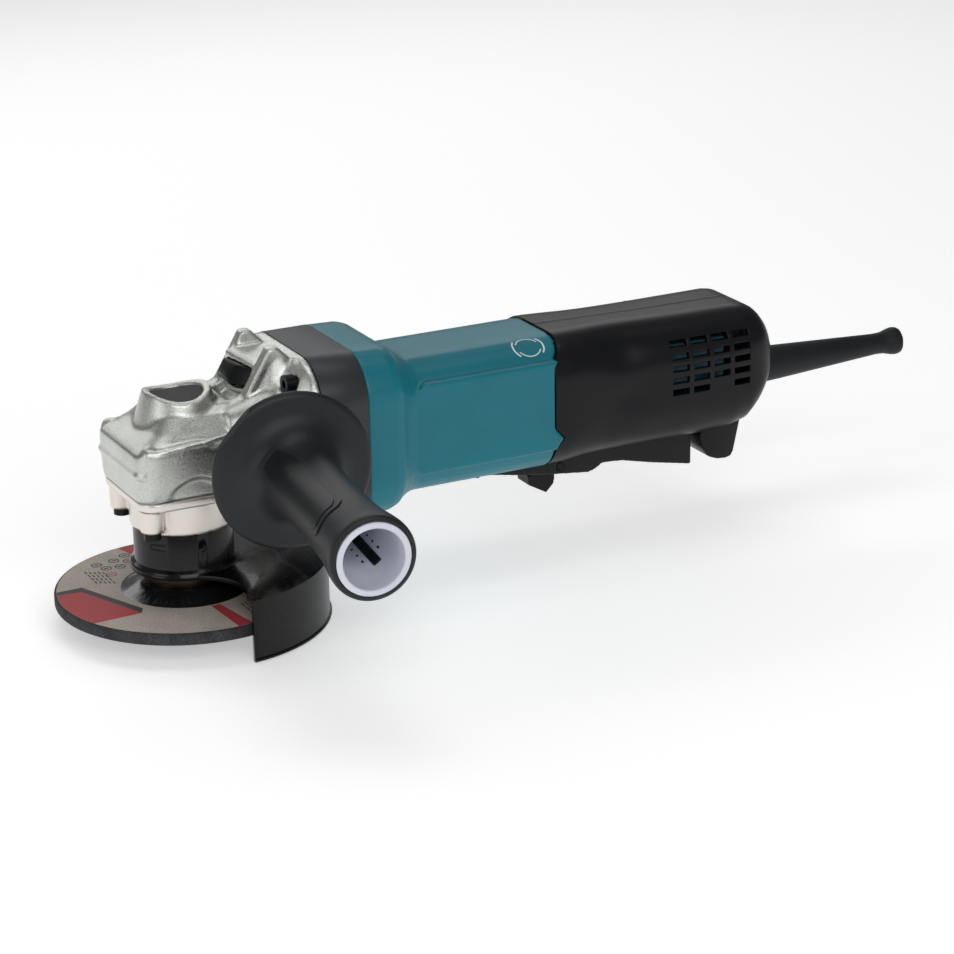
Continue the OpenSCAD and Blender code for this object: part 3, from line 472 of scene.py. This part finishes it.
def rib(name: str, *balls: Sequence[float]) -> bpy.types.Object:
    """Run a round rib from ball to ball, one closed stretch after another."""
    return join([ball_hull(name, a, b) for a, b in zip(balls, balls[1:])], name)


def slab(name: str, outline: Sequence[Point], axis: int, low: float, high: float) -> bpy.types.Object:
    """Extrude an outline along one axis.

    Args:
        name: the new piece's name.
        outline: its corners in millimetres, on the other two axes in their order.
        axis: 0, 1 or 2 for the axis that it is extruded along.
        low: where it starts.
        high: where it ends.

    Returns:
        The new piece.
    """
    piece = primitive("circle", name, vertices=len(outline), radius=0.01, fill_type="NGON")
    first, second = (a for a in range(3) if a != axis)
    for vertex, spot in zip(piece.data.vertices, outline):
        vertex.co[first], vertex.co[second], vertex.co[axis] = spot[0] * MM, spot[1] * MM, low * MM
    rise = [0.0, 0.0, 0.0]
    rise[axis] = (high - low) * MM
    edit_all(piece)
    bpy.ops.mesh.extrude_region_move(TRANSFORM_OT_translate={"value": rise})
    leave_edit()
    face_outwards(piece)
    return piece


def rod(name: str, start: Sequence[float], end: Sequence[float], radius: float, end_radius: float | None = None, sides: int = 48) -> bpy.types.Object:
    """Make a round rod or cone between two points in millimetres."""
    a, b = Vector(start), Vector(end)
    turn = (b - a).to_track_quat("Z", "Y").to_euler()
    return primitive(
        "cone", name, vertices=sides, radius1=radius * MM, radius2=(radius if end_radius is None else end_radius) * MM,
        depth=(b - a).length * MM, location=(a + b) / 2 * MM, rotation=turn,
    )


def mould(piece: bpy.types.Object, voxel: float, rounds: int = 4, factor: float = 0.5) -> None:
    """Fuse a piece's overlapping solids into one skin with softly rounded edges.

    Args:
        piece: the piece to change.
        voxel: the skin's grid in millimetres.
        rounds: how many times its edges are eased.
        factor: how much each time.
    """
    modify(piece, "REMESH", mode="VOXEL", voxel_size=voxel * MM, use_smooth_shade=True)
    modify(piece, "SMOOTH", factor=factor, iterations=rounds)
    shade(piece, 80)


def spline(points: Sequence[Sequence[float]], steps: int) -> list[list[float]]:
    """Run a smooth curve through points, a few steps for each stretch."""
    made = []
    last = len(points) - 1
    for i in range(last):
        a, b, c, d = (points[max(0, min(last, i + k))] for k in (-1, 0, 1, 2))
        for step in range(steps):
            t = step / steps
            made.append([
                0.5 * (2 * q + (r - p) * t + (2 * p - 5 * q + 4 * r - s) * t * t + (3 * q - p - 3 * r + s) * t**3)
                for p, q, r, s in zip(a, b, c, d)
            ])
    return [*made, list(points[last])]


def turned(name: str, profile: Sequence[Sequence[float]], sides: int = 96) -> bpy.types.Object:
    """Turn a closed profile of radius and height round the z axis.

    Args:
        name: the new piece's name.
        profile: radius and height in millimetres from point to point.
        sides: how many facets go round.

    Returns:
        The new piece, closed, with its faces outwards.
    """
    loop = [*profile, profile[0]]

    def spot(row: int, column: int) -> tuple[float, float, float]:
        """Place one point of the turned skin."""
        radius, height = loop[row]
        angle = 2 * math.pi * (column % sides) / sides
        return radius * math.cos(angle), radius * math.sin(angle), height

    piece = wrap_sheet(name, len(loop), sides + 1, spot)
    face_outwards(piece)
    return piece


def arc(radius: float, start: float, end: float, steps: int = 16) -> list[Point]:
    """List points on an arc round the spindle, angles in degrees."""
    angles = [math.radians(start + (end - start) * i / steps) for i in range(steps + 1)]
    return [(radius * math.cos(a), radius * math.sin(a)) for a in angles]


def dress_nodes() -> None:
    """Give every CAD node its finish."""
    for node, finish in NODE_FINISHES.items():
        dress(frame["nodes"][node], finish)


# ---------------------------------------------------------------- the grinder


def moulded(node: str, body: str, slot: str, voxel: float, rounds: int, *extra: bpy.types.Object) -> bpy.types.Object:
    """Make a node's piece with eased edges, fused with what is added to it.

    Args:
        node: the CAD node that gives the shape.
        body: the body it rides on.
        slot: its material slot.
        voxel: the skin's grid in millimetres.
        rounds: how many times its edges are eased.
        *extra: closed shapes that become part of it.

    Returns:
        The finished piece.
    """
    piece = join([cad_copy(node, node + "_skin"), *extra], node + "_skin")
    mould(piece, voxel, rounds)
    dress(piece, NODE_FINISHES[node])
    return settle(piece, body, slot, node)


def edged(node: str, body: str, slot: str, width: float, segments: int = 2) -> bpy.types.Object:
    """Make a node's piece with its sharp edges rounded."""
    piece = cad_copy(node, node + "_rounded")
    soften(piece, width, segments)
    shade(piece, 35)
    dress(piece, NODE_FINISHES[node])
    return settle(piece, body, slot, node)


@dataclass
class GearHead:
    """The cast gear housing with its two exhaust horns, and the bearing box under it."""

    voxel: float = 0.85
    horn_y: float = 16.0
    rail_z: float = 74.5

    def build(self) -> None:
        """Cast the housing and the box."""
        head = join([cad_copy("gear_housing", "gear_housing_skin"), *self.horns(), self.hood(), *self.ledges()], "gear_housing_skin")
        mould(head, self.voxel, 2)
        cut(head, self.mouth(0.0))
        join([head, self.lip()], "gear_housing_skin")
        mould(head, self.voxel, 4)
        cut(head, rod("button_well", (0.0, 0.0, 94.7), (0.0, 0.0, 130.0), 12.35, sides=96))
        shade(head, 60)
        dress(head, CAST)
        settle(head, "body", SLOTS["gear_housing"], "gear_housing")
        self.paint_mouth_shade()
        moulded("bearing_box", "body", SLOTS["bearing_box"], 0.8, 4, *self.ears())

    def horns(self) -> list[bpy.types.Object]:
        """Shape the two horns, thick and rounded, each with a ridge down its front."""
        made = []
        for side in (-1, 1):
            y = side * self.horn_y
            made.append(ball_hull(
                "horn", (42.0, y, 121.0, 2.6), (45.5, y + side, 119.0, 2.6), (49.5, y + side * 5, 104.0, 3.0),
                (49.5, y + side * 9, 98.0, 3.0), (40.0, y + side * 7, 97.0, 3.0), (30.0, y + side * 2, 96.0, 2.4),
            ))
            made.append(rib(
                "horn_ridge", (41.5, y, 121.4, 2.3), (36.0, y + side, 111.5, 2.1), (30.2, y + side * 1.8, 99.5, 1.8),
                (24.0, y + side * 4, 95.0, 1.2),
            ))
        return made

    def hood(self) -> bpy.types.Object:
        """Shape the arched hood over the exhaust mouth."""
        return ball_hull(
            "hood", (36.5, -13.5, 112.8, 2.4), (35.0, 0.0, 113.6, 2.4), (33.0, 13.5, 114.2, 2.4), (50.0, -16.0, 113.8, 3.0),
            (50.0, 16.0, 113.8, 3.0), (36.0, -14.0, 99.0, 2.0), (33.0, 0.0, 99.0, 2.0), (32.0, 14.0, 99.0, 2.0),
            (50.0, -16.0, 98.0, 2.0), (50.0, 16.0, 98.0, 2.0),
        )

    def mouth(self, back: float) -> bpy.types.Object:
        """Shape the mouth's opening, a curved band between the horns.

        Args:
            back: how far towards the motor it is moved, in millimetres.
        """
        band = []
        for x, y in ((33.6, -11.4), (29.4, 0.0), (28.6, 11.4)):
            for low in (0.0, 1.0):
                for push in (-7.0, 5.5):
                    band.append((x + push + back + 3.4 * low, y, 105.0 + 6.0 * low + (0.4 if y >= 0 else 0.0), 1.4))
        return ball_hull("mouth", *band)

    def paint_mouth_shade(self) -> None:
        """Close the mouth with a black plug set 5 mm back in it, with two bars across; its black is painted shade for
        the dark inside of the mouth.
        """
        piece = self.mouth(5.0)
        keep = slab("liner_keep", ((26.0, -14.0), (60.0, -14.0), (60.0, 14.0), (26.0, 14.0)), 2, 98.0, 116.0)
        cut(piece, keep, "INTERSECT")
        bars = [rod("liner_bar", (31.0, y, 101.0), (36.5, y, 113.0), 0.7, sides=12) for y in (-4.0, 4.5)]
        piece = join([piece, *bars], "mouth_painted_shade")
        # painted shade: black stands in for the shade deep in the exhaust mouth
        dress(piece, BLACK)
        shade(piece, 40)
        settle(piece, "body", SLOTS["baffle_ring"])

    def ears(self) -> list[bpy.types.Object]:
        """Lengthen the four ears so that only the screw heads' ends show."""
        spots = [(sx * 22.8, sy * 19.6) for sx in (-1, 1) for sy in (-1, 1)]
        return [rod("ear", (x, y, 44.9), (x, y, 57.0), 5.5) for x, y in spots]

    def lip(self) -> bpy.types.Object:
        """Run the rounded lip under the exhaust mouth from horn to horn."""
        return rib(
            "mouth_lip", (33.5, -13.5, 106.0, 1.5), (30.6, -12.0, 102.6, 1.6), (28.8, -6.0, 101.6, 1.6),
            (28.2, 0.0, 101.4, 1.6), (28.8, 6.0, 101.6, 1.6), (30.6, 12.0, 102.6, 1.6), (33.5, 13.5, 106.0, 1.5),
        )

    def ledges(self) -> list[bpy.types.Object]:
        """Add the rail across the front, the ledges on the flanks and the corner columns."""
        made = [rib(
            "front_rail", (-27.5, -27.2, self.rail_z, 1.4), (-30.2, -24.0, self.rail_z, 1.5),
            (-30.2, 24.0, self.rail_z, 1.5), (-27.5, 27.2, self.rail_z, 1.4))]
        for side in (-1, 1):
            made.append(rib("ledge", (-26.5, side * 27.0, 85.0, 1.6), (0.0, side * 29.2, 87.5, 1.5), (14.0, side * 30.0, 89.5, 1.5)))
            made.append(ball_hull("column", (-24.5, side * 24.8, 64.0, 4.0), (-24.5, side * 24.8, 84.0, 4.4)))
        return made


@dataclass
class Wheel:
    """The depressed-centre disc with its printed ring, and what clamps it."""

    face_z: float = 8.0
    ring: tuple[float, float] = (31.0, 61.3)
    skin: float = 0.05

    def build(self) -> None:
        """Make the disc, its ring and the print."""
        disc = cad_copy("grinding_wheel", "grinding_disc")
        soften(disc, 0.5, 2, 40)
        shade(disc, 35)
        dress(disc, GRIT)
        disc.data.materials.append(HUB_PAPER.material())
        for face in disc.data.polygons:
            if math.hypot(face.center.x, face.center.y) < 0.0309 and face.center.z > 0.0068:
                face.material_index = 1
        settle(disc, "spindle", SLOTS["grinding_wheel"], "grinding_wheel")
        self.printed("printed_ring", arc(self.ring[1], 0, 360, 128)[:-1], 0, CARD, arc(self.ring[0], 0, 360, 96)[:-1])
        self.blocks()
        self.marks()
        edged("lock_nut", "spindle", SLOTS["lock_nut"], 0.5)
        edged("inner_flange", "spindle", SLOTS["inner_flange"], 0.6)

    def printed(self, name: str, outline: Sequence[Point], layer: int, ink: Finish, hole: Sequence[Point] = ()) -> None:
        """Lay one print on the disc's face.

        Args:
            name: the piece's name.
            outline: its outline round the spindle in millimetres.
            layer: how many prints lie under it.
            ink: its finish.
            hole: an outline left open in it.
        """
        low = self.face_z + layer * self.skin
        piece = slab(name, outline, 2, low, low + self.skin)
        if hole:
            cut(piece, slab(name + "_hole", hole, 2, low - 1, low + 1))
        dress(piece, ink)
        settle(piece, "spindle", SLOTS["grinding_wheel"])

    def blocks(self) -> None:
        """Lay the coloured blocks and their dark strips."""
        edge = self.ring[1]
        self.printed("red_block", [*arc(edge, 165.2, 204.6, 10), (-31.9, -24.2), (-47.5, 14.2)], 1, RED_INK)
        self.printed("dark_strip", [(-58.2, 19.2), (-45.5, 19.4), (-29.5, -19.2), (-31.9, -24.2), (-47.5, 14.2), (-59.2, 15.6)], 1, DARK_INK)
        self.printed("red_strip", [(-0.5, -32.0), (1.3, -61.2), (8.6, -60.7), (4.0, -32.0)], 1, RED_INK)
        self.printed("red_bar", [*arc(edge, 92, 101, 6), *arc(33.0, 99, 94, 4)], 1, RED_INK)

    def marks(self) -> None:
        """Lay the small round signs and the rows of dashes."""
        for index, (x, y) in enumerate(((-12.6, 49.2), (-19.7, 45.0), (-13.4, 41.4), (-29.1, 43.4), (-19.5, 36.5), (-26.3, 37.3), (-27.0, 28.8))):
            ink = RED_INK if index == 6 else DARK_INK
            ring = [(x + px, y + py) for px, py in arc(2.75, 0, 360, 28)[:-1]]
            self.printed(f"sign_{index}", ring, 1, ink, [(x + px, y + py) for px, py in arc(2.1, 0, 360, 28)[:-1]])
            self.printed(f"sign_bar_{index}", [(x - 1.2, y - 0.5), (x + 1.2, y - 0.5), (x + 1.2, y + 0.6), (x - 1.2, y + 0.6)], 1, ink)
        for row in range(5):
            x, y = -37.5 + row * 1.9, 38.0 - row * 0.4
            for dash in range(4):
                top = y - dash * 4.6 - row * 0.7
                self.printed(f"dash_{row}_{dash}", [(x, top), (x, top - 3.2), (x + 0.7, top - 3.2), (x + 0.7, top)], 1, DARK_INK)
            for dash in range(3):
                left = 12.5 + row * 2.2
                top = -36.0 - dash * 6.0 + row * 0.9
                self.printed(f"note_{row}_{dash}", [(left, top), (left + 0.5, top - 4.4), (left + 1.2, top - 4.4), (left + 0.7, top)], 1, DARK_INK)


@dataclass
class SideHandle:
    """The screwed-in side handle, leaning a little forward and down."""

    root: tuple[float, float, float] = (33.2, -37.0, 79.7)
    yaw: float = 6.2
    pitch: float = 1.55
    profile: tuple[Point, ...] = (
        (22.2, 35.5), (24.0, 37.6), (26.0, 37.9), (27.6, 36.0), (28.4, 32.0), (29.6, 27.5), (32.0, 23.4), (35.5, 20.4),
        (41.0, 18.1), (51.0, 16.7), (68.0, 16.2), (93.0, 16.4), (111.0, 17.1), (123.0, 18.4), (132.0, 19.5), (136.6, 19.5),
        (137.9, 18.5),
    )
    panel: tuple[float, float] = (36.0, 113.0)

    def place(self) -> Matrix:
        """Give the turn and place that put the handle's own axis on the tool."""
        turn = Matrix.Rotation(math.radians(self.pitch), 4, "X") @ Matrix.Rotation(math.radians(-self.yaw), 4, "Z")
        return Matrix.Translation(Vector(self.root) * MM) @ turn @ Matrix.Rotation(math.radians(90), 4, "X")

    def radius(self, along: float) -> float:
        """Give the grip's radius at a distance along it."""
        curve = spline(self.profile, 8)
        for (a, low), (b, high) in zip(curve, curve[1:]):
            if a <= along <= b:
                return low + (high - low) * (along - a) / (b - a)
        return self.profile[-1][1]

    def build(self) -> None:
        """Make the grip with its panels, and the pale core with its slot."""
        outside = [(radius, along) for along, radius in spline(self.profile, 8)]
        grip = turned("handle_grip_skin", [
            (13.0, 3.5), (14.9, 13.5), (19.0, 21.0), (33.5, 21.8), *outside, (17.2, 138.0), (17.0, 113.0), (13.0, 109.0),
            (13.0, 35.0), (4.0, 35.0), (4.0, 3.5),
        ])
        flat = slab("shield_flat", ((35.9, -30.0), (42.0, -30.0), (42.0, 30.0), (35.9, 30.0)), 2, 18.0, 31.0)
        flat.data.transform(Matrix.Rotation(math.radians(139), 4, "Z"))
        cut(grip, flat)
        grip.data.transform(self.place())
        shade(grip, 45)
        dress(grip, HANDLE)
        settle(grip, "body", SLOTS["handle_grip"], "handle_grip")
        for index, angle in enumerate((139.0, -41.0)):
            self.patch(f"handle_border_{index}", angle, 10.6, 0.0, 0.3)
            self.patch(f"handle_panel_{index}", angle, 8.3, 3.0, 0.75)
        core = turned("handle_core_skin", [
            (0.0, 35.05), (12.9, 35.05), (12.9, 109.05), (16.8, 113.05), (16.8, 138.2), (16.4, 138.6), (14.4, 138.6),
            (14.0, 138.2), (13.4, 120.0), (11.9, 112.0), (11.4, 70.0), (0.0, 69.0),
        ])
        core.data.transform(self.place())
        shade(core, 35)
        dress(core, PALE)
        settle(core, "body", SLOTS["handle_core"], "handle_core")
        self.core_details()

    def patch(self, name: str, angle: float, half_width: float, inset: float, rise: float) -> None:
        """Lay a thin curved panel on the grip.

        Args:
            name: the piece's name.
            angle: where round the grip its middle is, in degrees.
            half_width: half its width in millimetres.
            inset: how much shorter it is than the whole panel at each end.
            rise: how far it stands proud.
        """
        start, end = self.panel[0] + inset, self.panel[1] - inset
        rows, columns = 60, 16

        def spot(row: int, column: int) -> Vector:
            """Place one point of the panel."""
            along = start + (end - start) * row / (rows - 1)
            narrow = 0.62 + 0.38 * smoothstep(start - 2, start + 12, along)
            narrow *= 1 - 0.45 * smoothstep(end - 5, end + 3, along)
            across = half_width * narrow * (2 * column / (columns - 1) - 1)
            radius = self.radius(along) + rise
            turn = math.radians(angle) + across / radius
            return Vector((radius * math.cos(turn), radius * math.sin(turn), along))

        piece = wrap_sheet(name, rows, columns, spot)
        piece.data.transform(self.place())
        face_outwards(piece)
        modify(piece, "SOLIDIFY", thickness=0.8 * MM, offset=0.0)
        soften(piece, 0.18, 2, 60)
        shade(piece, 40)
        dress(piece, HANDLE_PANEL if inset else HANDLE)
        settle(piece, "body", SLOTS["handle_grip"])

    def core_details(self) -> None:
        """Set the dark slot and the small ejector marks in the core's bore."""
        stops = ((11.3, 86.0), (11.55, 111.0), (13.0, 118.5))
        made = [
            ball_hull("core_slot", *((radius, across, along, 0.6) for radius, along in pair for across in (-1.6, 1.6)))
            for pair in zip(stops, stops[1:])
        ]
        for side in (-1, 1):
            for along in (99.0, 106.0, 113.0):
                made.append(rod("core_mark", (10.4, side * 4.6, along), (13.4, side * 4.6, along), 0.5, sides=12))
        piece = join(made, "core_slot")
        piece.data.transform(self.place() @ Matrix.Rotation(math.radians(309), 4, "Z"))
        dress(piece, BLACK)
        settle(piece, "body", SLOTS["handle_grip"])


@dataclass
class MotorBody:
    """The teal motor housing and the dark ring in front of it."""

    voxel: float = 0.95

    def build(self) -> None:
        """Mould the housing and the ring."""
        housing = moulded("motor_housing", "body", SLOTS["motor_housing"], self.voxel, 3)
        for name, radius, width, start, end in (
            ("mark_ring_upper", 5.9, 0.6, 25, 155), ("mark_ring_lower", 5.9, 0.6, 205, 335),
            ("mark_arc_left", 7.6, 0.8, 140, 222), ("mark_arc_right", 7.6, 0.8, -40, 42),
        ):
            self.mark(housing, name, radius, width, start, end)
        edged("baffle_ring", "body", SLOTS["baffle_ring"], 0.6)


    def mark(self, housing: bpy.types.Object, name: str, radius: float, width: float, start: float, end: float) -> None:
        """Print one arc of the round sign on the housing's upper edge.

        Args:
            housing: the finished housing that it lies on.
            name: the arc's name.
            radius: its inner radius in millimetres.
            width: how wide its line is.
            start: where it starts, in degrees.
            end: where it ends.
        """
        middle, across, out = Vector((173.4, -22.9, 105.0)), Vector((0.0, 0.886, 0.467)), Vector((0.0, -0.467, 0.886))

        def spot(row: int, column: int) -> Vector:
            """Place one point of the arc just over the housing."""
            angle = math.radians(start + (end - start) * row / 31)
            reach = radius + width * column / 3
            return middle + Vector((reach * math.cos(angle), 0.0, 0.0)) + across * reach * math.sin(angle) + out * 0.5

        piece = wrap_sheet(name, 32, 4, spot)
        modify(piece, "SHRINKWRAP", target=housing, wrap_method="NEAREST_SURFACEPOINT", wrap_mode="ABOVE_SURFACE", offset=0.06 * MM)
        face_outwards(piece)
        modify(piece, "SOLIDIFY", thickness=0.05 * MM, offset=0.0)
        shade(piece, 60)
        dress(piece, WHITE_INK)
        settle(piece, "body", SLOTS["motor_housing"])


@dataclass
class RearHandle:
    """The two black shells, the cord guard, and the paddle with its lock-off lever."""

    wall: float = 2.6
    parting: float = 0.12
    slot_start: float = 248.4
    slot_pitch: Point = (11.8, 6.05)
    slot_size: Point = (9.4, 3.3)
    slot_top: float = 96.4
    slot_rows: int = 5
    slot_columns: int = 4
    blank: tuple[int, int] = (2, 4)
    cord_z: float = 66.3
    # distance along the body, half width, bottom, top and corner radius
    stations: tuple[tuple[float, ...], ...] = (
        (176.0, 34.6, 41.0, 108.2, 21.0), (192.0, 34.5, 41.2, 108.2, 21.0), (204.0, 33.6, 41.8, 108.0, 21.4),
        (213.0, 33.0, 42.0, 107.8, 21.8), (226.0, 33.0, 42.0, 107.5, 22.2), (240.0, 33.6, 42.0, 107.2, 22.5),
        (258.0, 34.4, 42.0, 106.9, 22.5), (286.0, 34.5, 42.8, 106.7, 21.5), (296.0, 34.0, 46.0, 106.5, 20.0),
        (301.0, 33.0, 51.0, 105.7, 18.5), (304.5, 31.5, 55.5, 103.6, 17.0), (307.5, 29.5, 60.0, 100.0, 15.5),
        (310.0, 26.5, 64.5, 95.0, 13.5), (311.4, 23.0, 68.0, 90.0, 10.8),
    )
    seam: tuple[Point, ...] = (
        (183.3, 20.0), (183.3, 54.5), (187.3, 59.5), (182.3, 65.0), (182.3, 96.5), (186.3, 101.0), (188.8, 106.0), (189.3, 125.0),
    )
    hook: tuple[Point, ...] = (
        (276.0, 50.0), (273.6, 41.0), (275.2, 33.5), (279.0, 28.8), (284.0, 26.8), (289.0, 26.4), (292.2, 27.0),
        (293.6, 29.5), (298.6, 51.5), (298.8, 56.5), (280.0, 56.5),
    )
    # finger hollows: place along, height, length, height span and depth
    hollows: tuple[tuple[float, ...], ...] = (
        (221.0, 95.0, 11.0, 8.0, 1.5), (225.0, 74.0, 9.0, 7.0, 1.0), (214.0, 60.0, 14.0, 6.0, 0.9), (246.0, 56.0, 22.0, 5.0, 0.8),
    )
    screws: tuple[Point, ...] = ((204.0, 99.0), (256.0, 99.5), (299.5, 84.5), (204.0, 61.0))

    def build(self) -> None:
        """Mould the shells and what they hold."""
        self.shell(-1, "handle_shell_right")
        self.shell(1, "handle_shell_left")
        moulded("cord_guard", "body", SLOTS["cord_guard"], 0.7, 3)
        moulded("paddle", "paddle", SLOTS["paddle"], 0.75, 3)
        moulded("lock_off_lever", "lock_off", SLOTS["lock_off_lever"], 0.5, 3)

    def section(self, along: float) -> list[float]:
        """Give the half width, bottom, top and corner radius at a place along the grip."""
        for low, high in zip(self.stations, self.stations[1:]):
            if along <= high[0]:
                t = (along - low[0]) / (high[0] - low[0])
                return [a + (b - a) * t for a, b in zip(low[1:], high[1:])]
        return list(self.stations[-1][1:])

    def outline(self, along: float, column: int) -> Point:
        """Give one point of a half section, from its top round its side to its bottom."""
        half, low, high, corner = self.section(along)
        spans = (6, 12, 14, 12, 6)
        for span, count in enumerate(spans):
            if column <= count:
                break
            column -= count
        t = column / spans[span]
        if span == 0:
            return (half - corner) * t, high
        if span == 1:
            return half - corner + corner * math.sin(math.pi / 2 * t), high - corner + corner * math.cos(math.pi / 2 * t)
        if span == 2:
            return half, high - corner - (high - low - 2 * corner) * t
        if span == 3:
            return half - corner + corner * math.cos(math.pi / 2 * t), low + corner - corner * math.sin(math.pi / 2 * t)
        return (half - corner) * (1 - t), low

    def shell(self, side: int, node: str) -> None:
        """Mould one half of the grip.

        Args:
            side: which side of the tool, -1 or 1.
            node: the CAD node that it replaces.
        """
        rows, columns = 74, 51
        start, end = self.stations[0][0], self.stations[-1][0]

        def spot(row: int, column: int) -> tuple[float, float, float]:
            """Place one point of the skin; the last rows close its rear."""
            along = start + (end - start) * min(1.0, row / (rows - 4))
            y, z = self.outline(along, column)
            close = (1.0, 0.9, 0.5, 0.0)[max(0, row - (rows - 4))]
            for middle, height, length, tall, depth in self.hollows:
                y -= depth * math.exp(-(((along - middle) / length) ** 2) - ((z - height) / tall) ** 2)
            return along + 0.9 * (1 - close), side * (self.parting + y * close), 79.0 + (z - 79.0) * close

        piece = wrap_sheet(node + "_skin", rows, columns, spot)
        face_outwards(piece)
        if min(piece.data.polygons, key=lambda f: f.center.z).normal.z > 0:
            piece.data.flip_normals()
        modify(piece, "SOLIDIFY", thickness=self.wall * MM, offset=-1.0)
        cut(piece, slab("seam_cut", ((150.0, 125.0), (150.0, 20.0), *self.seam), 1, -60.0, 60.0))
        cut(piece, self.openings(side))
        if side > 0:
            for x, z in self.screws:
                cut(piece, rod("screw_hole", (x, 18.0, z), (x, 60.0, z), 3.9, sides=24))
        low, high = (0.15, 19.0) if side > 0 else (-19.0, -0.15)
        foot = slab("hook", self.hook, 1, low, high)
        soften(foot, 1.2, 3, 20)
        cut(foot, rod("cord_way", (285.0, 0.0, self.cord_z), (330.0, 0.0, self.cord_z), 9.6))
        merge(piece)
        soften(piece, 0.45, 2, 42)
        piece = join([piece, foot], node + "_skin")
        shade(piece, 34)
        dress(piece, BLACK)
        settle(piece, "body", SLOTS[node], node)

    def openings(self, side: int) -> bpy.types.Object:
        """Shape what is cut out of a shell here: vents, cord way and paddle opening."""
        tools = []
        for column in range(self.slot_columns):
            for row in range(self.slot_rows):
                if (column, row) == self.blank:
                    continue
                left = self.slot_start + column * self.slot_pitch[0]
                top = self.slot_top - row * self.slot_pitch[1] + self.slot_size[1] / 2
                right, low = left + self.slot_size[0], top - self.slot_size[1]
                tools.append(slab("vent", ((left, low), (right, low), (right, top), (left, top)), 1, *sorted((side * 20.0, side * 60.0))))
        tools.append(slab("paddle_way", ((150.0, 20.0), (273.5, 20.0), (273.5, 58.0), (150.0, 58.0)), 1, -16.4, 16.4))
        tools.append(rod("cord_way", (288.0, 0.0, self.cord_z), (330.0, 0.0, self.cord_z), 9.6))
        return join(tools, "openings")


@dataclass(frozen=True)
class Spring:
    """A coil spring, copied from its CAD node; lengths in millimetres."""

    node: str
    joint: str
    fixed_end: float
    travel: float

    def build(self) -> None:
        """Make the coil."""
        piece = cad_copy(self.node, self.node + "_coil")
        shade(piece, 60)
        dress(piece, SPRING)
        settle(piece, "body", SLOTS[self.node], self.node)
        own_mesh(piece)


@dataclass
class Guard:
    """The pressed steel wheel guard with its collar."""

    def build(self) -> None:
        """Round the pressed sheet's edges."""
        edged("wheel_guard", "guard", SLOTS["wheel_guard"], 0.45)


# ---------------------------------------------------------------- studio


@dataclass
class Studio:
    """The camera, the pale floor and the soft lights."""

    target: tuple[float, float, float] = (156.2, 0.0, 34.0)
    azimuth: float = 26.95
    elevation: float = 19.75
    roll: float = -0.95
    distance: float = 1484.3
    lens: float = 113.1
    surroundings: float = 0.18

    def build(self) -> None:
        """Set up everything that isn't the object."""
        self.camera()
        self.floor()
        self.lights()

    def camera(self) -> None:
        """Place the camera."""
        a, e, r = (math.radians(v) for v in (self.azimuth, self.elevation, self.roll))
        back = Vector((-math.sin(a) * math.cos(e), -math.cos(a) * math.cos(e), math.sin(e)))
        right = Vector((math.cos(a), -math.sin(a), 0.0))
        up = back.cross(right)
        turned = math.cos(r) * right + math.sin(r) * up
        upright = -math.sin(r) * right + math.cos(r) * up
        data = bpy.data.cameras.new("camera")
        data.lens = self.lens
        data.sensor_width = 36.0
        data.clip_start, data.clip_end = 0.05, 50.0
        camera = bpy.data.objects.new("camera", data)
        bpy.context.scene.collection.objects.link(camera)
        turn = Matrix((turned, upright, back)).transposed()
        camera.matrix_world = Matrix.Translation((Vector(self.target) + back * self.distance) * MM) @ turn.to_4x4()
        bpy.context.scene.camera = camera

    def floor(self) -> None:
        """Lay the pale floor just under the guard."""
        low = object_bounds()[0].z
        floor = primitive("plane", "floor", size=12.0, location=(0.15, 0, low - 0.0005))
        material = bpy.data.materials.new("pale_floor")
        material.use_nodes = True
        shader = material.node_tree.nodes["Principled BSDF"]
        shader.inputs["Base Color"].default_value = colour("#F4F4F4")
        shader.inputs["Roughness"].default_value = 0.9
        shader.inputs["Emission Color"].default_value = colour("#FFFFFF")
        shader.inputs["Emission Strength"].default_value = 0.42
        floor.data.materials.append(material)
        floor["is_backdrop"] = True

    def lights(self) -> None:
        """Hang the soft lights and set the pale surroundings."""
        world = bpy.data.worlds.new("studio")
        world.use_nodes = True
        tree = world.node_tree
        tree.nodes.clear()
        seen = add_node(tree, "LightPath").outputs["Is Camera Ray"]
        strength = add_node(tree, "MapRange", n0=seen, n1=0.0, n2=1.0, n3=self.surroundings, n4=1.0)
        background = add_node(tree, "Background", Color=colour("#FFFFFF"), Strength=strength.outputs[0])
        add_node(tree, "OutputWorld", Surface=background.outputs[0])
        bpy.context.scene.world = world
        bpy.context.scene.view_settings.view_transform = "Standard"
        for name, place, size, power in (
            ("key", (-0.1, -1.5, 1.0), (1.4, 0.8), 10.5),
            ("over", (0.2, 0.1, 1.5), (1.2, 0.6), 4.5),
            ("left", (-1.4, -0.3, 0.6), (0.7, 1.0), 4),
            ("back", (0.3, 1.4, 0.9), (2.0, 0.5), 6),
        ):
            data = bpy.data.lights.new(name, "AREA")
            data.shape = "RECTANGLE"
            data.size, data.size_y = size
            data.energy = power
            light = bpy.data.objects.new(name, data)
            bpy.context.scene.collection.objects.link(light)
            light.location = place
            aim = Vector((0.12, 0, 0.06)) - light.location
            light.rotation_euler = aim.to_track_quat("-Z", "Y").to_euler()


def main() -> None:
    """Build the grinder and its studio."""
    logging.basicConfig(level=logging.INFO, format="%(message)s")
    dress_nodes()
    springs = (Spring("shaft_lock_spring", "shaft_lock_press", 88.7, 4.6), Spring("paddle_spring", "paddle_squeeze", 65.9, 10.6))
    for part in (GearHead(), Wheel(), Guard(), MotorBody(), RearHandle(), SideHandle(), *springs, Studio()):
        part.build()
        LOG.info("%s done", type(part).__name__)


if __name__ == "__main__":
    main()
